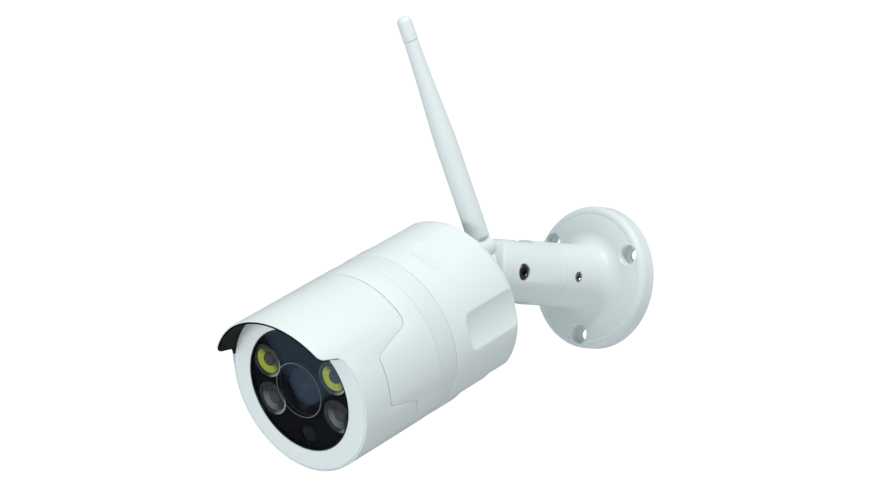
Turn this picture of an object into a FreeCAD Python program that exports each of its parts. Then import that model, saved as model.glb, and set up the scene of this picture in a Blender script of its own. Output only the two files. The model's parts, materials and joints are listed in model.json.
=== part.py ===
import FreeCAD, Part

import math
import os

from FreeCAD import Matrix, Placement, Rotation, Vector

# Wall-mounted bullet camera. Millimetres. The origin is the centre of the wall
# base's back face, the wall is the plane y = 0, the object stands out along -Y
# and +Z is up. Pieces are drawn in one of three local frames whose z runs from
# the wall towards the lens, x to the right seen from the front, and y up:
# the wall frame, the knuckle frame (turned in the stem) and the body frame
# (origin on the tilt pivot, turned down with the camera).

# Bracket
BASE_R = 32.5
BASE_EDGE = 8.3
BASE_ROUND = 3.0
BASE_DOME = 9.6
FOOT_R = 7.5
STEM_R = 14.4
SEAM_Z = 38.5
SPIGOT_R = 8.0
SPIGOT_DEPTH = 20.0
HOLE_CIRCLE_R = 26.3
HOLE_R = 2.5
HOLE_ANGLES = (20, 140, 260)
COUNTERBORE_R = 4.4
COUNTERBORE_FLOOR = 4.9
RELIEF_IN = 20.0
RELIEF_OUT = 30.3
RELIEF_Z = 3.0
GRUB_Z = 31.0
GRUB_R = 2.0
GRUB_TURN = -7.0
RUNNING = 0.05

# Rest pose of the bracket
SWIVEL_TURN = 5.6
TILT = 25.0
PIVOT_Z = 68.0

# Fork, tongue and neck
EAR_R = 14.0
SLOT_HALF = 5.7
SLOT_ROOT = 14.6
TONGUE_HALF = 5.35
TONGUE_R = 13.9
SEAT_R = 15.0
NECK_R = 14.05
PIVOT_R = 2.45
PIVOT_HEAD_R = 3.4
PIVOT_HEAD_FLOOR = 9.6
PIVOT_HEAD_H = 4.5
PIVOT_NUT_H = 3.6
NUT_FLAT = 7.0
STUD_R = 5.0
STUD_PAST = 9.0
WASHER_R = 9.0
WASHER_T = 1.2
STUD_NUT_FLAT = 16.0
STUD_NUT_H = 5.5

# Camera body, distances along its axis from the pivot
REAR = 31.0
PLATE = 3.0
FLUTE_END = 65.6
BAND_REAR = 75.0
BAND_FRONT = 86.0
HOOD_REAR = 96.0
NOTCH_FRONT = 118.0
FACE = 133.7
VISOR_FRONT = 148.0
SEAL = 1.2
BODY_R = 37.3
BAND_R = 37.15
SHELL_IN = 33.6
SLEEVE_R = 35.0
REAR_ROUND = 5.0
FLUTE_DEPTH = 2.4
FLUTE_SCOOP_R = 28.0
FLUTE_ROUND = 4.0
FLUTE_TURN = -1.2
FLUTE_ANGLES = range(0, 360, 60)
COLLAR_IN = 30.0
COLLAR_REACH = 6.0
SEAL_RING_R = 32.6
SEAL_CORD_R = 0.88
SEAL_GROOVE_R = 31.7
SEAL_SPOTS = (BAND_REAR - 3, BAND_FRONT + 3)
SKIN_R = 36.75
LINER_R = 35.9
BEZEL_R = 36.7
WINDOW_R = 27.7
SEAT_BORE_R = 31.2
WINDOW_FRONT = 133.5
WINDOW_BACK = 131.9
WINDOW_STEP = 132.4
BEZEL_STEP = 132.7
BEZEL_REAR = 129.1
BEZEL_PLUG = 0.1

# Lamps and lens
PLATE_TURN = -8.3
LAMP_X = 18.6
LAMP_Y = 8.8
LAMP_R = 7.6
SENSOR_Y = -21.2
SENSOR_R = 3.9
RING_R = 12.4
RING_T = 1.0
MASK_Z = 130.9
MASK_FRONT = 131.85
MASK_R = 31.0
LAMP_BOARD_Z = 123.5
LAMP_BOARD_R = 30.0
HEAT_PLATE_T = 3.0
CHIP = 3.6
CHIP_T = 0.9
LENS_FRONT = 131.6
LENS_REAR = 106.6
BARREL_R = 11.2
BARREL_NECK_R = 6.0
BARREL_SHOULDER = 119.5
BARREL_FLARE = 121.5
BARREL_FLOOR = 125.5
BARREL_THROAT = 121.4
BARREL_THROAT_R = 5.2
BARREL_REAR_R = 4.5
FRONT_GLASS_R = 9.35
FRONT_GLASS_CURVE = 18.0
REAR_GLASS_R = 4.4
REAR_GLASS_T = 1.6
REAR_GLASS_SPOTS = (107.2, 111.0, 115.0)
SENSOR_BOARD_Z = 100.0
MAIN_BOARD_Z = 84.0
BOARD_T = 1.6
BOARD_TALL = 36.0
SENSOR_BOARD_WIDE = 38.0
MAIN_BOARD_WIDE = 44.0
PILLAR_XY = 15.0
PILLAR_FLAT = 3.8
HOLDER_TOP = 106.5
HOLDER_TUBE_TOP = 116.5
HOLDER_TUBE_R = 8.6
HOLDER_WIDE = 33.0
HOLDER_TALL = 19.0
FILTER_Z = 104.7
FILTER_STEP = 9.6
FILTER_GLASS = 8.2
FILTER_T = 1.0
SINK = 16.0
SINK_H = 7.0
SINK_X = -8.0
SINK_Y = 2.0
SINK_GAP = 1.6
SINK_PITCH = 3.1
LEAD_R = 0.7
LEAD_BEND = 4.5
LEAD_X = 12.5
LEAD_Y = 5.0

# Antenna, on the rear plate
AERIAL_X = 10.75
AERIAL_Y = 18.6
AERIAL_HINGE = 19.0
AERIAL_LEAN = -8.0
CONNECTOR_R = 3.1
CONNECTOR_FLAT = 8.0
CONNECTOR_FLANGE_H = 2.0
CONNECTOR_REACH = 7.0
CONNECTOR_PAST = 6.0
CONNECTOR_NUT_H = 2.2
ELBOW_R = 4.9
CHEEK_HALF = 2.85
ROD_R = 5.0
ROD_START = 5.2
ROD_TAPER = 50.0
ROD_WAIST = 82.0
ROD_WAIST_R = 3.6
ROD_TOP = 96.8
ROD_TIP_R = 3.15
CAP_R = 3.35
CAP_TOP = 107.8
HINGE_PIN_R = 1.0
RADIATOR_R = 1.1
RADIATOR_LOW = 13.0
RADIATOR_HIGH = 86.0

# Cable gland
GLAND_Y = -22.0
CABLE_R = 2.6
GLAND_R = 5.4
GLAND_THREAD_R = 4.4
GLAND_REACH = 9.0
GLAND_PAST = 5.0
GLAND_NUT_FLAT = 12.5
GLAND_NUT_H = 3.0

X, Y, Z = Vector(1, 0, 0), Vector(0, 1, 0), Vector(0, 0, 1)
WALL = Placement(Matrix(1, 0, 0, 0, 0, 0, -1, 0, 0, 1, 0, 0, 0, 0, 0, 1))
KNUCKLE = WALL.multiply(Placement(Vector(0, 0, 0), Rotation(Z, -SWIVEL_TURN)))
BODY = KNUCKLE.multiply(Placement(Z * PIVOT_Z, Rotation(X, TILT)))
TURNED_PLATE = BODY.multiply(Placement(Vector(0, 0, 0), Rotation(Z, PLATE_TURN)))
AERIAL = BODY.multiply(Placement(Vector(AERIAL_X, AERIAL_Y, AERIAL_HINGE), Rotation(Z, -AERIAL_LEAN)))


def disc(r, low, high, x=0, y=0):
    return Part.makeCylinder(r, high - low, Vector(x, y, low))


def ring(outer, inner, low, high, x=0, y=0):
    return disc(outer, low, high, x, y).cut(disc(inner, low, high, x, y))


def block(wide, tall, low, high, x=0, y=0):
    return Part.makeBox(wide, tall, high - low, Vector(x - wide / 2, y - tall / 2, low))


def cross_rod(r, start, end, z=0):
    return Part.makeCylinder(r, end - start, Vector(start, 0, z), X)


def hexagon(flat, low, high, x=0, y=0):
    corners = [
        Vector(x + flat / math.sqrt(3) * math.cos(math.radians(60 * i)),
               y + flat / math.sqrt(3) * math.sin(math.radians(60 * i)), low)
        for i in range(7)
    ]
    return Part.Face(Part.makePolygon(corners)).extrude(Z * (high - low))


def turned(outline):
    """A solid of revolution about z from (radius, z) points."""
    points = [Vector(r, 0, z) for r, z in outline]
    wire = Part.makePolygon(points + points[:1])
    return Part.Face(wire).revolve(Vector(0, 0, 0), Z, 360)


def rounded_outline(corners):
    """A closed wire in the y-z plane from (y, z, radius) corners."""
    edges = []
    ends = []
    count = len(corners)
    for i, (y, z, r) in enumerate(corners):
        here = Vector(0, y, z)
        before = Vector(0, *corners[i - 1][:2]) - here
        after = Vector(0, *corners[(i + 1) % count][:2]) - here
        if r == 0:
            ends.append((here, here))
            continue
        half = before.getAngle(after) / 2
        back = r / math.tan(half)
        first = here + before.normalize() * back
        last = here + after.normalize() * back
        inward = (before + after).normalize()
        middle = here + inward * (r / math.sin(half) - r)
        edges.append(Part.Arc(first, middle, last).toShape())
        ends.append((first, last))
    for i, (_, last) in enumerate(ends):
        following = ends[(i + 1) % count][0]
        edges.append(Part.LineSegment(last, following).toShape())
    return Part.Wire(Part.__sortEdges__(edges))


def cut_all(shape, tools):
    for tool in tools:
        shape = shape.cut(tool)
    return shape


def fuse_all(shapes):
    return shapes[0].multiFuse(shapes[1:]).removeSplitter()


def at_angles(shape, angles):
    return [shape.rotated(Vector(0, 0, 0), Z, angle) for angle in angles]


def wall_base():
    """Round foot with a hollow curve up to the stem that holds the knuckle."""
    foot_z = BASE_DOME + FOOT_R
    arc_mid = math.radians(45)
    face_edge = Vector(BASE_R - BASE_ROUND, 0, BASE_EDGE)
    foot_start = Vector(STEM_R + FOOT_R, 0, BASE_DOME)
    round_mid = Vector(BASE_R - BASE_ROUND * (1 - math.sin(arc_mid)), 0,
                       BASE_EDGE - BASE_ROUND * (1 - math.cos(arc_mid)))
    foot_mid = Vector(STEM_R + FOOT_R * (1 - math.cos(arc_mid)), 0,
                      foot_z - FOOT_R * math.sin(arc_mid))
    edges = [
        Part.LineSegment(Vector(0, 0, 0), Vector(BASE_R, 0, 0)).toShape(),
        Part.LineSegment(Vector(BASE_R, 0, 0), Vector(BASE_R, 0, BASE_EDGE - BASE_ROUND)).toShape(),
        Part.Arc(Vector(BASE_R, 0, BASE_EDGE - BASE_ROUND), round_mid, face_edge).toShape(),
        Part.LineSegment(face_edge, foot_start).toShape(),
        Part.Arc(foot_start, foot_mid, Vector(STEM_R, 0, foot_z)).toShape(),
        Part.LineSegment(Vector(STEM_R, 0, foot_z), Vector(STEM_R, 0, SEAM_Z)).toShape(),
        Part.LineSegment(Vector(STEM_R, 0, SEAM_Z), Vector(0, 0, SEAM_Z)).toShape(),
        Part.LineSegment(Vector(0, 0, SEAM_Z), Vector(0, 0, 0)).toShape(),
    ]
    solid = Part.Face(Part.Wire(edges)).revolve(Vector(0, 0, 0), Z, 360)
    screw_hole = disc(HOLE_R, 0, BASE_DOME, HOLE_CIRCLE_R)
    counterbore = disc(COUNTERBORE_R, COUNTERBORE_FLOOR, 2 * BASE_DOME, HOLE_CIRCLE_R)
    socket = disc(SPIGOT_R + RUNNING, SEAM_Z - SPIGOT_DEPTH, SEAM_Z)
    grub = cross_rod(GRUB_R, SPIGOT_R, STEM_R + 1, GRUB_Z).rotated(Vector(0, 0, 0), Z, GRUB_TURN)
    relief = ring(RELIEF_OUT, RELIEF_IN, 0, RELIEF_Z)
    return cut_all(solid, at_angles(screw_hole.fuse(counterbore), HOLE_ANGLES) + [socket, grub, relief])


def base_set_screw():
    """Grub screw through the stem wall, tight on the knuckle's spigot."""
    start = SPIGOT_R + 0.3
    screw = cross_rod(GRUB_R, start, STEM_R - 0.6, GRUB_Z)
    key = hexagon(2.0, STEM_R - 2.6, STEM_R).rotated(Vector(0, 0, 0), Y, 90)
    key.translate(Z * GRUB_Z)
    return screw.cut(key).rotated(Vector(0, 0, 0), Z, GRUB_TURN)


def swivel_knuckle():
    """Fork that turns in the stem, with a rounded end about the tilt pivot."""
    barrel = disc(STEM_R, SEAM_Z + 0.1, PIVOT_Z + EAR_R)
    limit = block(60, 60, SEAM_Z, PIVOT_Z).fuse(cross_rod(EAR_R, -30, 30, PIVOT_Z))
    slot = Part.makeBox(2 * SLOT_HALF, 40, 40, Vector(-SLOT_HALF, -20, PIVOT_Z - SLOT_ROOT))
    spigot = disc(SPIGOT_R, SEAM_Z - SPIGOT_DEPTH + 0.3, SEAM_Z + 1)
    fork = barrel.common(limit).cut(slot).fuse(spigot).removeSplitter()
    seat = cross_rod(PIVOT_HEAD_R + 0.45, PIVOT_HEAD_FLOOR, 20, PIVOT_Z)
    bore = cross_rod(PIVOT_R + RUNNING, -20, 20, PIVOT_Z)
    nut_pocket = hexagon(NUT_FLAT + 0.2, 0, 10).rotated(Vector(0, 0, 0), Y, -90)
    nut_pocket.translate(Vector(-PIVOT_HEAD_FLOOR, 0, PIVOT_Z))
    return cut_all(fork, [seat, bore, nut_pocket])


def pivot_screw():
    """Socket-head screw that clamps the fork on the tongue."""
    shank = cross_rod(PIVOT_R, -PIVOT_HEAD_FLOOR - 3, PIVOT_HEAD_FLOOR, PIVOT_Z)
    head = cross_rod(PIVOT_HEAD_R, PIVOT_HEAD_FLOOR, PIVOT_HEAD_FLOOR + PIVOT_HEAD_H, PIVOT_Z)
    key = hexagon(3.0, 0, 2.2).rotated(Vector(0, 0, 0), Y, 90)
    key.translate(Vector(PIVOT_HEAD_FLOOR + PIVOT_HEAD_H - 2.1, 0, PIVOT_Z))
    return shank.fuse(head).cut(key)


def pivot_nut():
    nut = hexagon(NUT_FLAT, 0, PIVOT_NUT_H).cut(disc(PIVOT_R, 0, PIVOT_NUT_H))
    nut = nut.rotated(Vector(0, 0, 0), Y, -90)
    nut.translate(Vector(-PIVOT_HEAD_FLOOR, 0, PIVOT_Z))
    return nut


def body_knuckle():
    """Tongue between the ears, a neck with a hollow seat, and the stud."""
    neck_end = REAR - SEAL
    neck = disc(NECK_R, -TONGUE_R, neck_end)
    tongue_slab = Part.makeBox(2 * TONGUE_HALF, 60, neck_end, Vector(-TONGUE_HALF, -30, 0))
    tongue_end = cross_rod(TONGUE_R, -TONGUE_HALF, TONGUE_HALF)
    seat = block(60, 60, 0, neck_end).cut(cross_rod(SEAT_R, -30, 30))
    solid = neck.common(fuse_all([tongue_slab, tongue_end, seat])).removeSplitter()
    stud = disc(STUD_R, neck_end - 1, REAR + PLATE + STUD_PAST)
    bore = cross_rod(PIVOT_R + RUNNING, -20, 20)
    return solid.fuse(stud).cut(bore).removeSplitter()


def stud_washer():
    return ring(WASHER_R, STUD_R + RUNNING, REAR + PLATE, REAR + PLATE + WASHER_T)


def stud_nut():
    low = REAR + PLATE + WASHER_T
    high = low + STUD_NUT_H
    return hexagon(STUD_NUT_FLAT, low, high).cut(disc(STUD_R, low, high))


def neck_seal():
    """Rubber washer between the neck and the rear plate."""
    return ring(NECK_R - 0.4, STUD_R + RUNNING, REAR - SEAL, REAR)


def flute():
    """Hollow scoop with a rounded front end, open at the rear rim."""
    tool = disc(FLUTE_SCOOP_R, REAR - 5, FLUTE_END)
    front = [edge for edge in tool.Edges if abs(edge.CenterOfMass.z - FLUTE_END) < 0.01]
    tool = tool.makeFillet(FLUTE_ROUND, front)
    tool.translate(X * (BODY_R - FLUTE_DEPTH + FLUTE_SCOOP_R))
    return tool.rotated(Vector(0, 0, 0), Z, FLUTE_TURN)


def rear_housing():
    """Cup with six flutes; the neck, aerial and cable go through its plate."""
    cup = disc(BODY_R, REAR, BAND_REAR).cut(disc(SHELL_IN, REAR + PLATE, BAND_REAR))
    rim = [e for e in cup.Edges if abs(e.BoundBox.ZMax - REAR) < 0.01 and e.BoundBox.XLength > 2 * SHELL_IN]
    cup = cup.makeFillet(REAR_ROUND, rim)
    holes = [
        disc(STUD_R + RUNNING, REAR, REAR + PLATE),
        disc(CONNECTOR_R + 0.2, REAR, REAR + PLATE, AERIAL_X, AERIAL_Y),
        disc(GLAND_THREAD_R + 0.1, REAR, REAR + PLATE, 0, GLAND_Y),
    ]
    return cut_all(cup, at_angles(flute(), FLUTE_ANGLES) + holes)


def mid_band():
    """Joining ring with a collar each side and a groove for each seal."""
    band = ring(BAND_R, COLLAR_IN, BAND_REAR + 0.05, BAND_FRONT - 0.05)
    collar = ring(SHELL_IN - 0.2, COLLAR_IN, BAND_REAR - COLLAR_REACH, BAND_FRONT + COLLAR_REACH)
    grooves = [ring(SHELL_IN, SEAL_GROOVE_R, z - 1.05, z + 1.05) for z in SEAL_SPOTS]
    return cut_all(band.fuse(collar).removeSplitter(), grooves)


def housing_seals():
    return Part.makeCompound([Part.makeTorus(SEAL_RING_R, SEAL_CORD_R, Vector(0, 0, z)) for z in SEAL_SPOTS])


def notch_outline(grow=0.0):
    """Side notch of the hood, which the sleeve's name panel fills."""
    return Part.Face(rounded_outline([
        (24.0, HOOD_REAR - 2, 0), (24.0, HOOD_REAR - grow, 0), (17.0 - grow, HOOD_REAR + 0.6 - grow, 4.5),
        (11.6 - grow, NOTCH_FRONT - grow, 3.2), (-10.9 + grow, NOTCH_FRONT - grow, 3.0),
        (-16.4 + grow, HOOD_REAR + 4.8 - grow, 3.5), (-30.0, HOOD_REAR - grow, 0),
        (-30.0, HOOD_REAR - 2, 0),
    ]))


def front_sleeve():
    """Inner front shell, thick behind the hood and proud in its notches."""
    outer = disc(BODY_R, BAND_FRONT, HOOD_REAR).fuse(disc(SLEEVE_R, HOOD_REAR, BEZEL_REAR - 0.2))
    panel = notch_outline(0.25).extrude(X * 60)
    pads = [ring(BODY_R, SLEEVE_R - 0.5, HOOD_REAR - 1, NOTCH_FRONT).common(panel.translated(X * x))
            for x in (0, -60)]
    solid = fuse_all([outer] + pads)
    return cut_all(solid, [disc(SHELL_IN, BAND_FRONT, FACE)])


def visor_cut():
    """What is cut from the hood in front, seen from the side."""
    return Part.Face(rounded_outline([
        (-60, FACE - 0.5, 0), (8.6, FACE - 0.5, 12.0), (18.0, FACE + 1.3, 4.5),
        (21.1, VISOR_FRONT - 2.4, 3.6), (40.0, VISOR_FRONT, 0), (40.0, 180, 0), (-60, 180, 0),
    ]))


def hood_shell(outer, inner, low):
    """Tube under the hood's side outline: the notches and the visor's curve."""
    tube = ring(outer, inner, low, VISOR_FRONT)
    front = visor_cut().extrude(X * 120).translated(X * -60)
    notch = notch_outline().extrude(X * 120).translated(X * -60)
    return cut_all(tube, [front, notch])


def sun_hood():
    """Outer front shell whose top stands forward as the visor."""
    shell = hood_shell(BODY_R, SLEEVE_R + 0.1, HOOD_REAR + 0.05)
    return shell.cut(ring(SKIN_R, SLEEVE_R - 1, BEZEL_REAR - 0.05, VISOR_FRONT + 1))


def visor_liner():
    """Dull black lining under the visor."""
    liner = hood_shell(SKIN_R, LINER_R, FACE + 0.15)
    return liner.cut(block(90, 90, 0, 300, 0, -45))


def bezel_ring():
    """White ring whose front lip holds the window's flange from outside."""
    plug = BEZEL_REAR - BEZEL_PLUG
    return turned([
        (SEAT_BORE_R, plug), (SHELL_IN - 0.1, plug), (SHELL_IN - 0.1, BEZEL_REAR),
        (BEZEL_R, BEZEL_REAR), (BEZEL_R, FACE - 1.2), (BEZEL_R - 0.6, FACE - 0.3),
        (BEZEL_R - 1.6, FACE), (WINDOW_R, FACE), (WINDOW_R, BEZEL_STEP), (SEAT_BORE_R, BEZEL_STEP),
    ])


def front_window():
    """Smoked window with a flange behind the bezel's lip."""
    flange = disc(SEAT_BORE_R - 0.1, WINDOW_BACK, WINDOW_STEP)
    return flange.fuse(disc(WINDOW_R - 0.1, WINDOW_BACK, WINDOW_FRONT)).removeSplitter()


def window_seal():
    return ring(SEAT_BORE_R - 0.1, WINDOW_R + 0.2, WINDOW_STEP, BEZEL_STEP)


def lamp_places():
    return [(sx * LAMP_X, sy * LAMP_Y) for sy in (1, -1) for sx in (-1, 1)]


def lamp_mask():
    """Black plate round the lamps and the lens, just behind the window."""
    plate = ring(MASK_R, RING_R + 0.1, MASK_Z, MASK_FRONT)
    holes = [disc(LAMP_R + 0.1, MASK_Z, MASK_FRONT, x, y) for x, y in lamp_places()]
    return cut_all(plate, holes + [disc(SENSOR_R + 0.3, MASK_Z, MASK_FRONT, 0, SENSOR_Y)])


def lamp_optics():
    """Four moulded lamp lenses: a cone up from the chip to a flanged front."""
    low = LAMP_BOARD_Z + BOARD_T + CHIP_T + 0.1
    cone = turned([
        (0, low), (3.0, low), (LAMP_R - 0.6, MASK_Z), (LAMP_R, MASK_Z),
        (LAMP_R, MASK_FRONT), (0, MASK_FRONT),
    ])
    return Part.makeCompound([cone.translated(Vector(x, y, 0)) for x, y in lamp_places()])


def lamp_chips(places):
    low = LAMP_BOARD_Z + BOARD_T
    return Part.makeCompound([block(CHIP, CHIP, low, low + CHIP_T, x, y) for x, y in places])


def white_chips():
    return lamp_chips(lamp_places()[:2])


def infrared_chips():
    return lamp_chips(lamp_places()[2:])


def light_sensor():
    """Daylight sensor can with a domed top."""
    shoulder = MASK_Z - 0.6
    can = disc(SENSOR_R, LAMP_BOARD_Z + BOARD_T, shoulder, 0, SENSOR_Y)
    dome = Part.makeSphere(SENSOR_R, Vector(0, SENSOR_Y, shoulder))
    return can.fuse(dome.common(block(20, 20, shoulder, MASK_FRONT - 0.1, 0, SENSOR_Y))).removeSplitter()


def lamp_board():
    return ring(LAMP_BOARD_R, RING_R + 0.6, LAMP_BOARD_Z, LAMP_BOARD_Z + BOARD_T)


def heat_plate():
    """Aluminium plate that carries the lamp board and the lens unit."""
    return ring(SHELL_IN - 0.15, RING_R - RING_T + 0.1, LAMP_BOARD_Z - HEAT_PLATE_T, LAMP_BOARD_Z)


def lens_ring():
    """Black tube round the lens that keeps lamp light out."""
    return ring(RING_R, RING_R - RING_T, LAMP_BOARD_Z + 0.02, MASK_FRONT)


def lens_barrel():
    """Threaded lens barrel with a wide front and a stepped bore."""
    bore = FRONT_GLASS_R + 0.1
    return turned([
        (BARREL_REAR_R, LENS_REAR), (BARREL_NECK_R, LENS_REAR), (BARREL_NECK_R, BARREL_SHOULDER),
        (BARREL_R, BARREL_FLARE),
        (BARREL_R, LENS_FRONT - 0.5), (BARREL_R - 0.5, LENS_FRONT), (bore + 0.4, LENS_FRONT),
        (bore, LENS_FRONT - 0.6), (bore, BARREL_FLOOR), (BARREL_THROAT_R, BARREL_FLOOR),
        (BARREL_THROAT_R, BARREL_THROAT), (BARREL_REAR_R, BARREL_THROAT),
    ])


def lens_front_glass():
    """Domed front element."""
    middle = Vector(0, 0, LENS_FRONT - 0.2 - FRONT_GLASS_CURVE)
    blank = disc(FRONT_GLASS_R, BARREL_FLOOR + 0.1, LENS_FRONT)
    return Part.makeSphere(FRONT_GLASS_CURVE, middle).common(blank)


def lens_rear_glass():
    return Part.makeCompound([disc(REAR_GLASS_R, z, z + REAR_GLASS_T) for z in REAR_GLASS_SPOTS])


def lens_holder():
    """Block on the sensor board with a thread above and a filter slot."""
    board_top = SENSOR_BOARD_Z + BOARD_T
    slot_low = FILTER_Z - 0.3
    solid = block(HOLDER_WIDE, HOLDER_TALL, board_top, HOLDER_TOP)
    solid = solid.fuse(disc(HOLDER_TUBE_R, HOLDER_TOP, HOLDER_TUBE_TOP))
    slot = block(30, 12.6, slot_low, FILTER_Z + 1.3)
    throat = disc(4.6, slot_low, HOLDER_TOP)
    thread = disc(BARREL_NECK_R + 0.1, LENS_REAR, HOLDER_TUBE_TOP)
    sensor_room = block(13, 11, board_top, slot_low)
    return cut_all(solid.removeSplitter(), [slot, throat, thread, sensor_room])


def filter_slide():
    """Carriage with two windows that moves one or the other before the sensor."""
    top = FILTER_Z + FILTER_T
    plate = block(19.4, 12.0, FILTER_Z, top, -FILTER_STEP / 2)
    holes = [block(FILTER_GLASS, FILTER_GLASS, FILTER_Z, top, x) for x in (0, -FILTER_STEP)]
    return cut_all(plate, holes)


def filter_glasses():
    return Part.makeCompound([
        block(FILTER_GLASS, FILTER_GLASS, FILTER_Z + 0.2, FILTER_Z + 0.8, x) for x in (0, -FILTER_STEP)
    ])


def filter_motor():
    """Small coil beside the holder that moves the filter slide."""
    return block(9.0, 8.0, SENSOR_BOARD_Z + BOARD_T, HOLDER_TOP - 0.5, 0, 14.6)


def image_sensor():
    return block(9.6, 8.4, SENSOR_BOARD_Z + BOARD_T, SENSOR_BOARD_Z + BOARD_T + 1.4)


def pillar_places():
    return [(sx * PILLAR_XY, sy * PILLAR_XY) for sx in (-1, 1) for sy in (-1, 1)]


def circuit_board(wide, tall, low):
    board = block(wide, tall, low, low + BOARD_T)
    return cut_all(board, [disc(1.3, low, low + BOARD_T, x, y) for x, y in pillar_places()])


def sensor_board():
    return circuit_board(SENSOR_BOARD_WIDE, BOARD_TALL, SENSOR_BOARD_Z)


def main_board():
    return circuit_board(MAIN_BOARD_WIDE, BOARD_TALL, MAIN_BOARD_Z)


def board_pillars():
    """Hexagon pillars between the boards and up to the heat plate."""
    spans = [(MAIN_BOARD_Z + BOARD_T, SENSOR_BOARD_Z),
             (SENSOR_BOARD_Z + BOARD_T, LAMP_BOARD_Z - HEAT_PLATE_T)]
    return Part.makeCompound([
        hexagon(PILLAR_FLAT, low, high, x, y) for low, high in spans for x, y in pillar_places()
    ])


def board_screws():
    """Pan-head screws behind the main board."""
    low = MAIN_BOARD_Z
    screws = [disc(2.1, low - 1.4, low, x, y).fuse(disc(1.2, low, low + BOARD_T, x, y))
              for x, y in pillar_places()]
    return Part.makeCompound(screws)


def processor_sink():
    """Finned block on the back of the main board."""
    low = MAIN_BOARD_Z - SINK_H
    sink = block(SINK, SINK, low, MAIN_BOARD_Z, SINK_X, SINK_Y)
    gaps = [block(SINK_GAP, SINK, low, MAIN_BOARD_Z - 2, SINK_X + SINK_PITCH * i, SINK_Y) for i in range(-2, 3)]
    return cut_all(sink, gaps)


def radio_module():
    return block(12, 15, MAIN_BOARD_Z - 2.6, MAIN_BOARD_Z, 12.5, 1)


def aerial_lead():
    """Thin lead from the aerial connector to the radio module."""
    start = Vector(AERIAL_X, AERIAL_Y, REAR + PLATE + CONNECTOR_PAST + 0.2)
    corner_a = Vector(AERIAL_X, AERIAL_Y, 62.0)
    corner_b = Vector(LEAD_X, LEAD_Y, 70.0)
    end = Vector(LEAD_X, LEAD_Y, MAIN_BOARD_Z - 2.6)
    edges = []
    here = start
    for corner, following in ((corner_a, corner_b), (corner_b, end)):
        before = (here - corner).normalize()
        after = (following - corner).normalize()
        half = before.getAngle(after) / 2
        back = LEAD_BEND / math.tan(half)
        first = corner + before * back
        last = corner + after * back
        middle = corner + (before + after).normalize() * (LEAD_BEND / math.sin(half) - LEAD_BEND)
        edges.append(Part.LineSegment(here, first).toShape())
        edges.append(Part.Arc(first, middle, last).toShape())
        here = last
    edges.append(Part.LineSegment(here, end).toShape())
    section = Part.Wire(Part.makeCircle(LEAD_R, start, Z))
    return Part.Wire(edges).makePipeShell([section], True, False)


def cable_gland():
    """Gland low on the rear plate, open for a round cable."""
    outline = [
        (CABLE_R, REAR - GLAND_REACH), (GLAND_R - 1.0, REAR - GLAND_REACH), (GLAND_R, REAR - GLAND_REACH + 1.4),
        (GLAND_R, REAR), (GLAND_THREAD_R, REAR), (GLAND_THREAD_R, REAR + PLATE + GLAND_PAST),
        (CABLE_R, REAR + PLATE + GLAND_PAST),
    ]
    return turned(outline).translated(Y * GLAND_Y)


def gland_nut():
    low = REAR + PLATE
    high = low + GLAND_NUT_H
    return hexagon(GLAND_NUT_FLAT, low, high, 0, GLAND_Y).cut(disc(GLAND_THREAD_R, low, high, 0, GLAND_Y))


def aerial_connector():
    """Coaxial connector through the rear plate."""
    x, y = AERIAL_X, AERIAL_Y
    flange = hexagon(CONNECTOR_FLAT, REAR - CONNECTOR_FLANGE_H, REAR, x, y)
    thread = disc(CONNECTOR_R, REAR - CONNECTOR_REACH, REAR + PLATE + CONNECTOR_PAST, x, y)
    return flange.fuse(thread).removeSplitter()


def connector_nut():
    low = REAR + PLATE
    high = low + CONNECTOR_NUT_H
    nut = hexagon(CONNECTOR_FLAT, low, high, AERIAL_X, AERIAL_Y)
    return nut.cut(disc(CONNECTOR_R, low, high, AERIAL_X, AERIAL_Y))


# The aerial frame has its origin on the hinge, y up the rod and z to the front.

def aerial_elbow():
    """Collar that turns on the connector, with two cheeks for the rod."""
    top = REAR - 2.4 - AERIAL_HINGE
    neck = disc(ELBOW_R, 0, top)
    cheeks = cross_rod(ELBOW_R, -ELBOW_R, ELBOW_R)
    solid = neck.fuse(cheeks.common(disc(ELBOW_R, -ELBOW_R, ELBOW_R))).removeSplitter()
    gap = Part.makeBox(2 * CHEEK_HALF, 20, 20, Vector(-CHEEK_HALF, -10, -20 + 4.95))
    bore = disc(CONNECTOR_R + RUNNING, REAR - CONNECTOR_REACH - 0.3 - AERIAL_HINGE, top)
    pin = cross_rod(HINGE_PIN_R, -10, 10)
    return cut_all(solid, [gap, bore, pin])


def aerial_pin():
    return cross_rod(HINGE_PIN_R, -ELBOW_R + 0.8, ELBOW_R - 0.8)


def aerial_rod():
    """Tapered rod with a tongue at its foot."""
    shaft = turned([
        (0, ROD_START), (ROD_R - 0.7, ROD_START), (ROD_R, ROD_START + 0.9), (ROD_R, ROD_TAPER),
        (ROD_WAIST_R, ROD_WAIST), (ROD_TIP_R, ROD_TOP), (0, ROD_TOP),
    ]).rotated(Vector(0, 0, 0), X, -90)
    tongue = cross_rod(ELBOW_R - 0.35, -CHEEK_HALF + 0.2, CHEEK_HALF - 0.2)
    web = Part.makeBox(2 * CHEEK_HALF - 0.4, ROD_START + 0.5, 8.4, Vector(-CHEEK_HALF + 0.2, 0, -4.2))
    solid = fuse_all([shaft, tongue, web])
    pin = cross_rod(HINGE_PIN_R + RUNNING, -10, 10)
    well = disc(RADIATOR_R + 0.2, RADIATOR_LOW - 1, RADIATOR_HIGH + 2).rotated(Vector(0, 0, 0), X, -90)
    return cut_all(solid, [pin, well])


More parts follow.
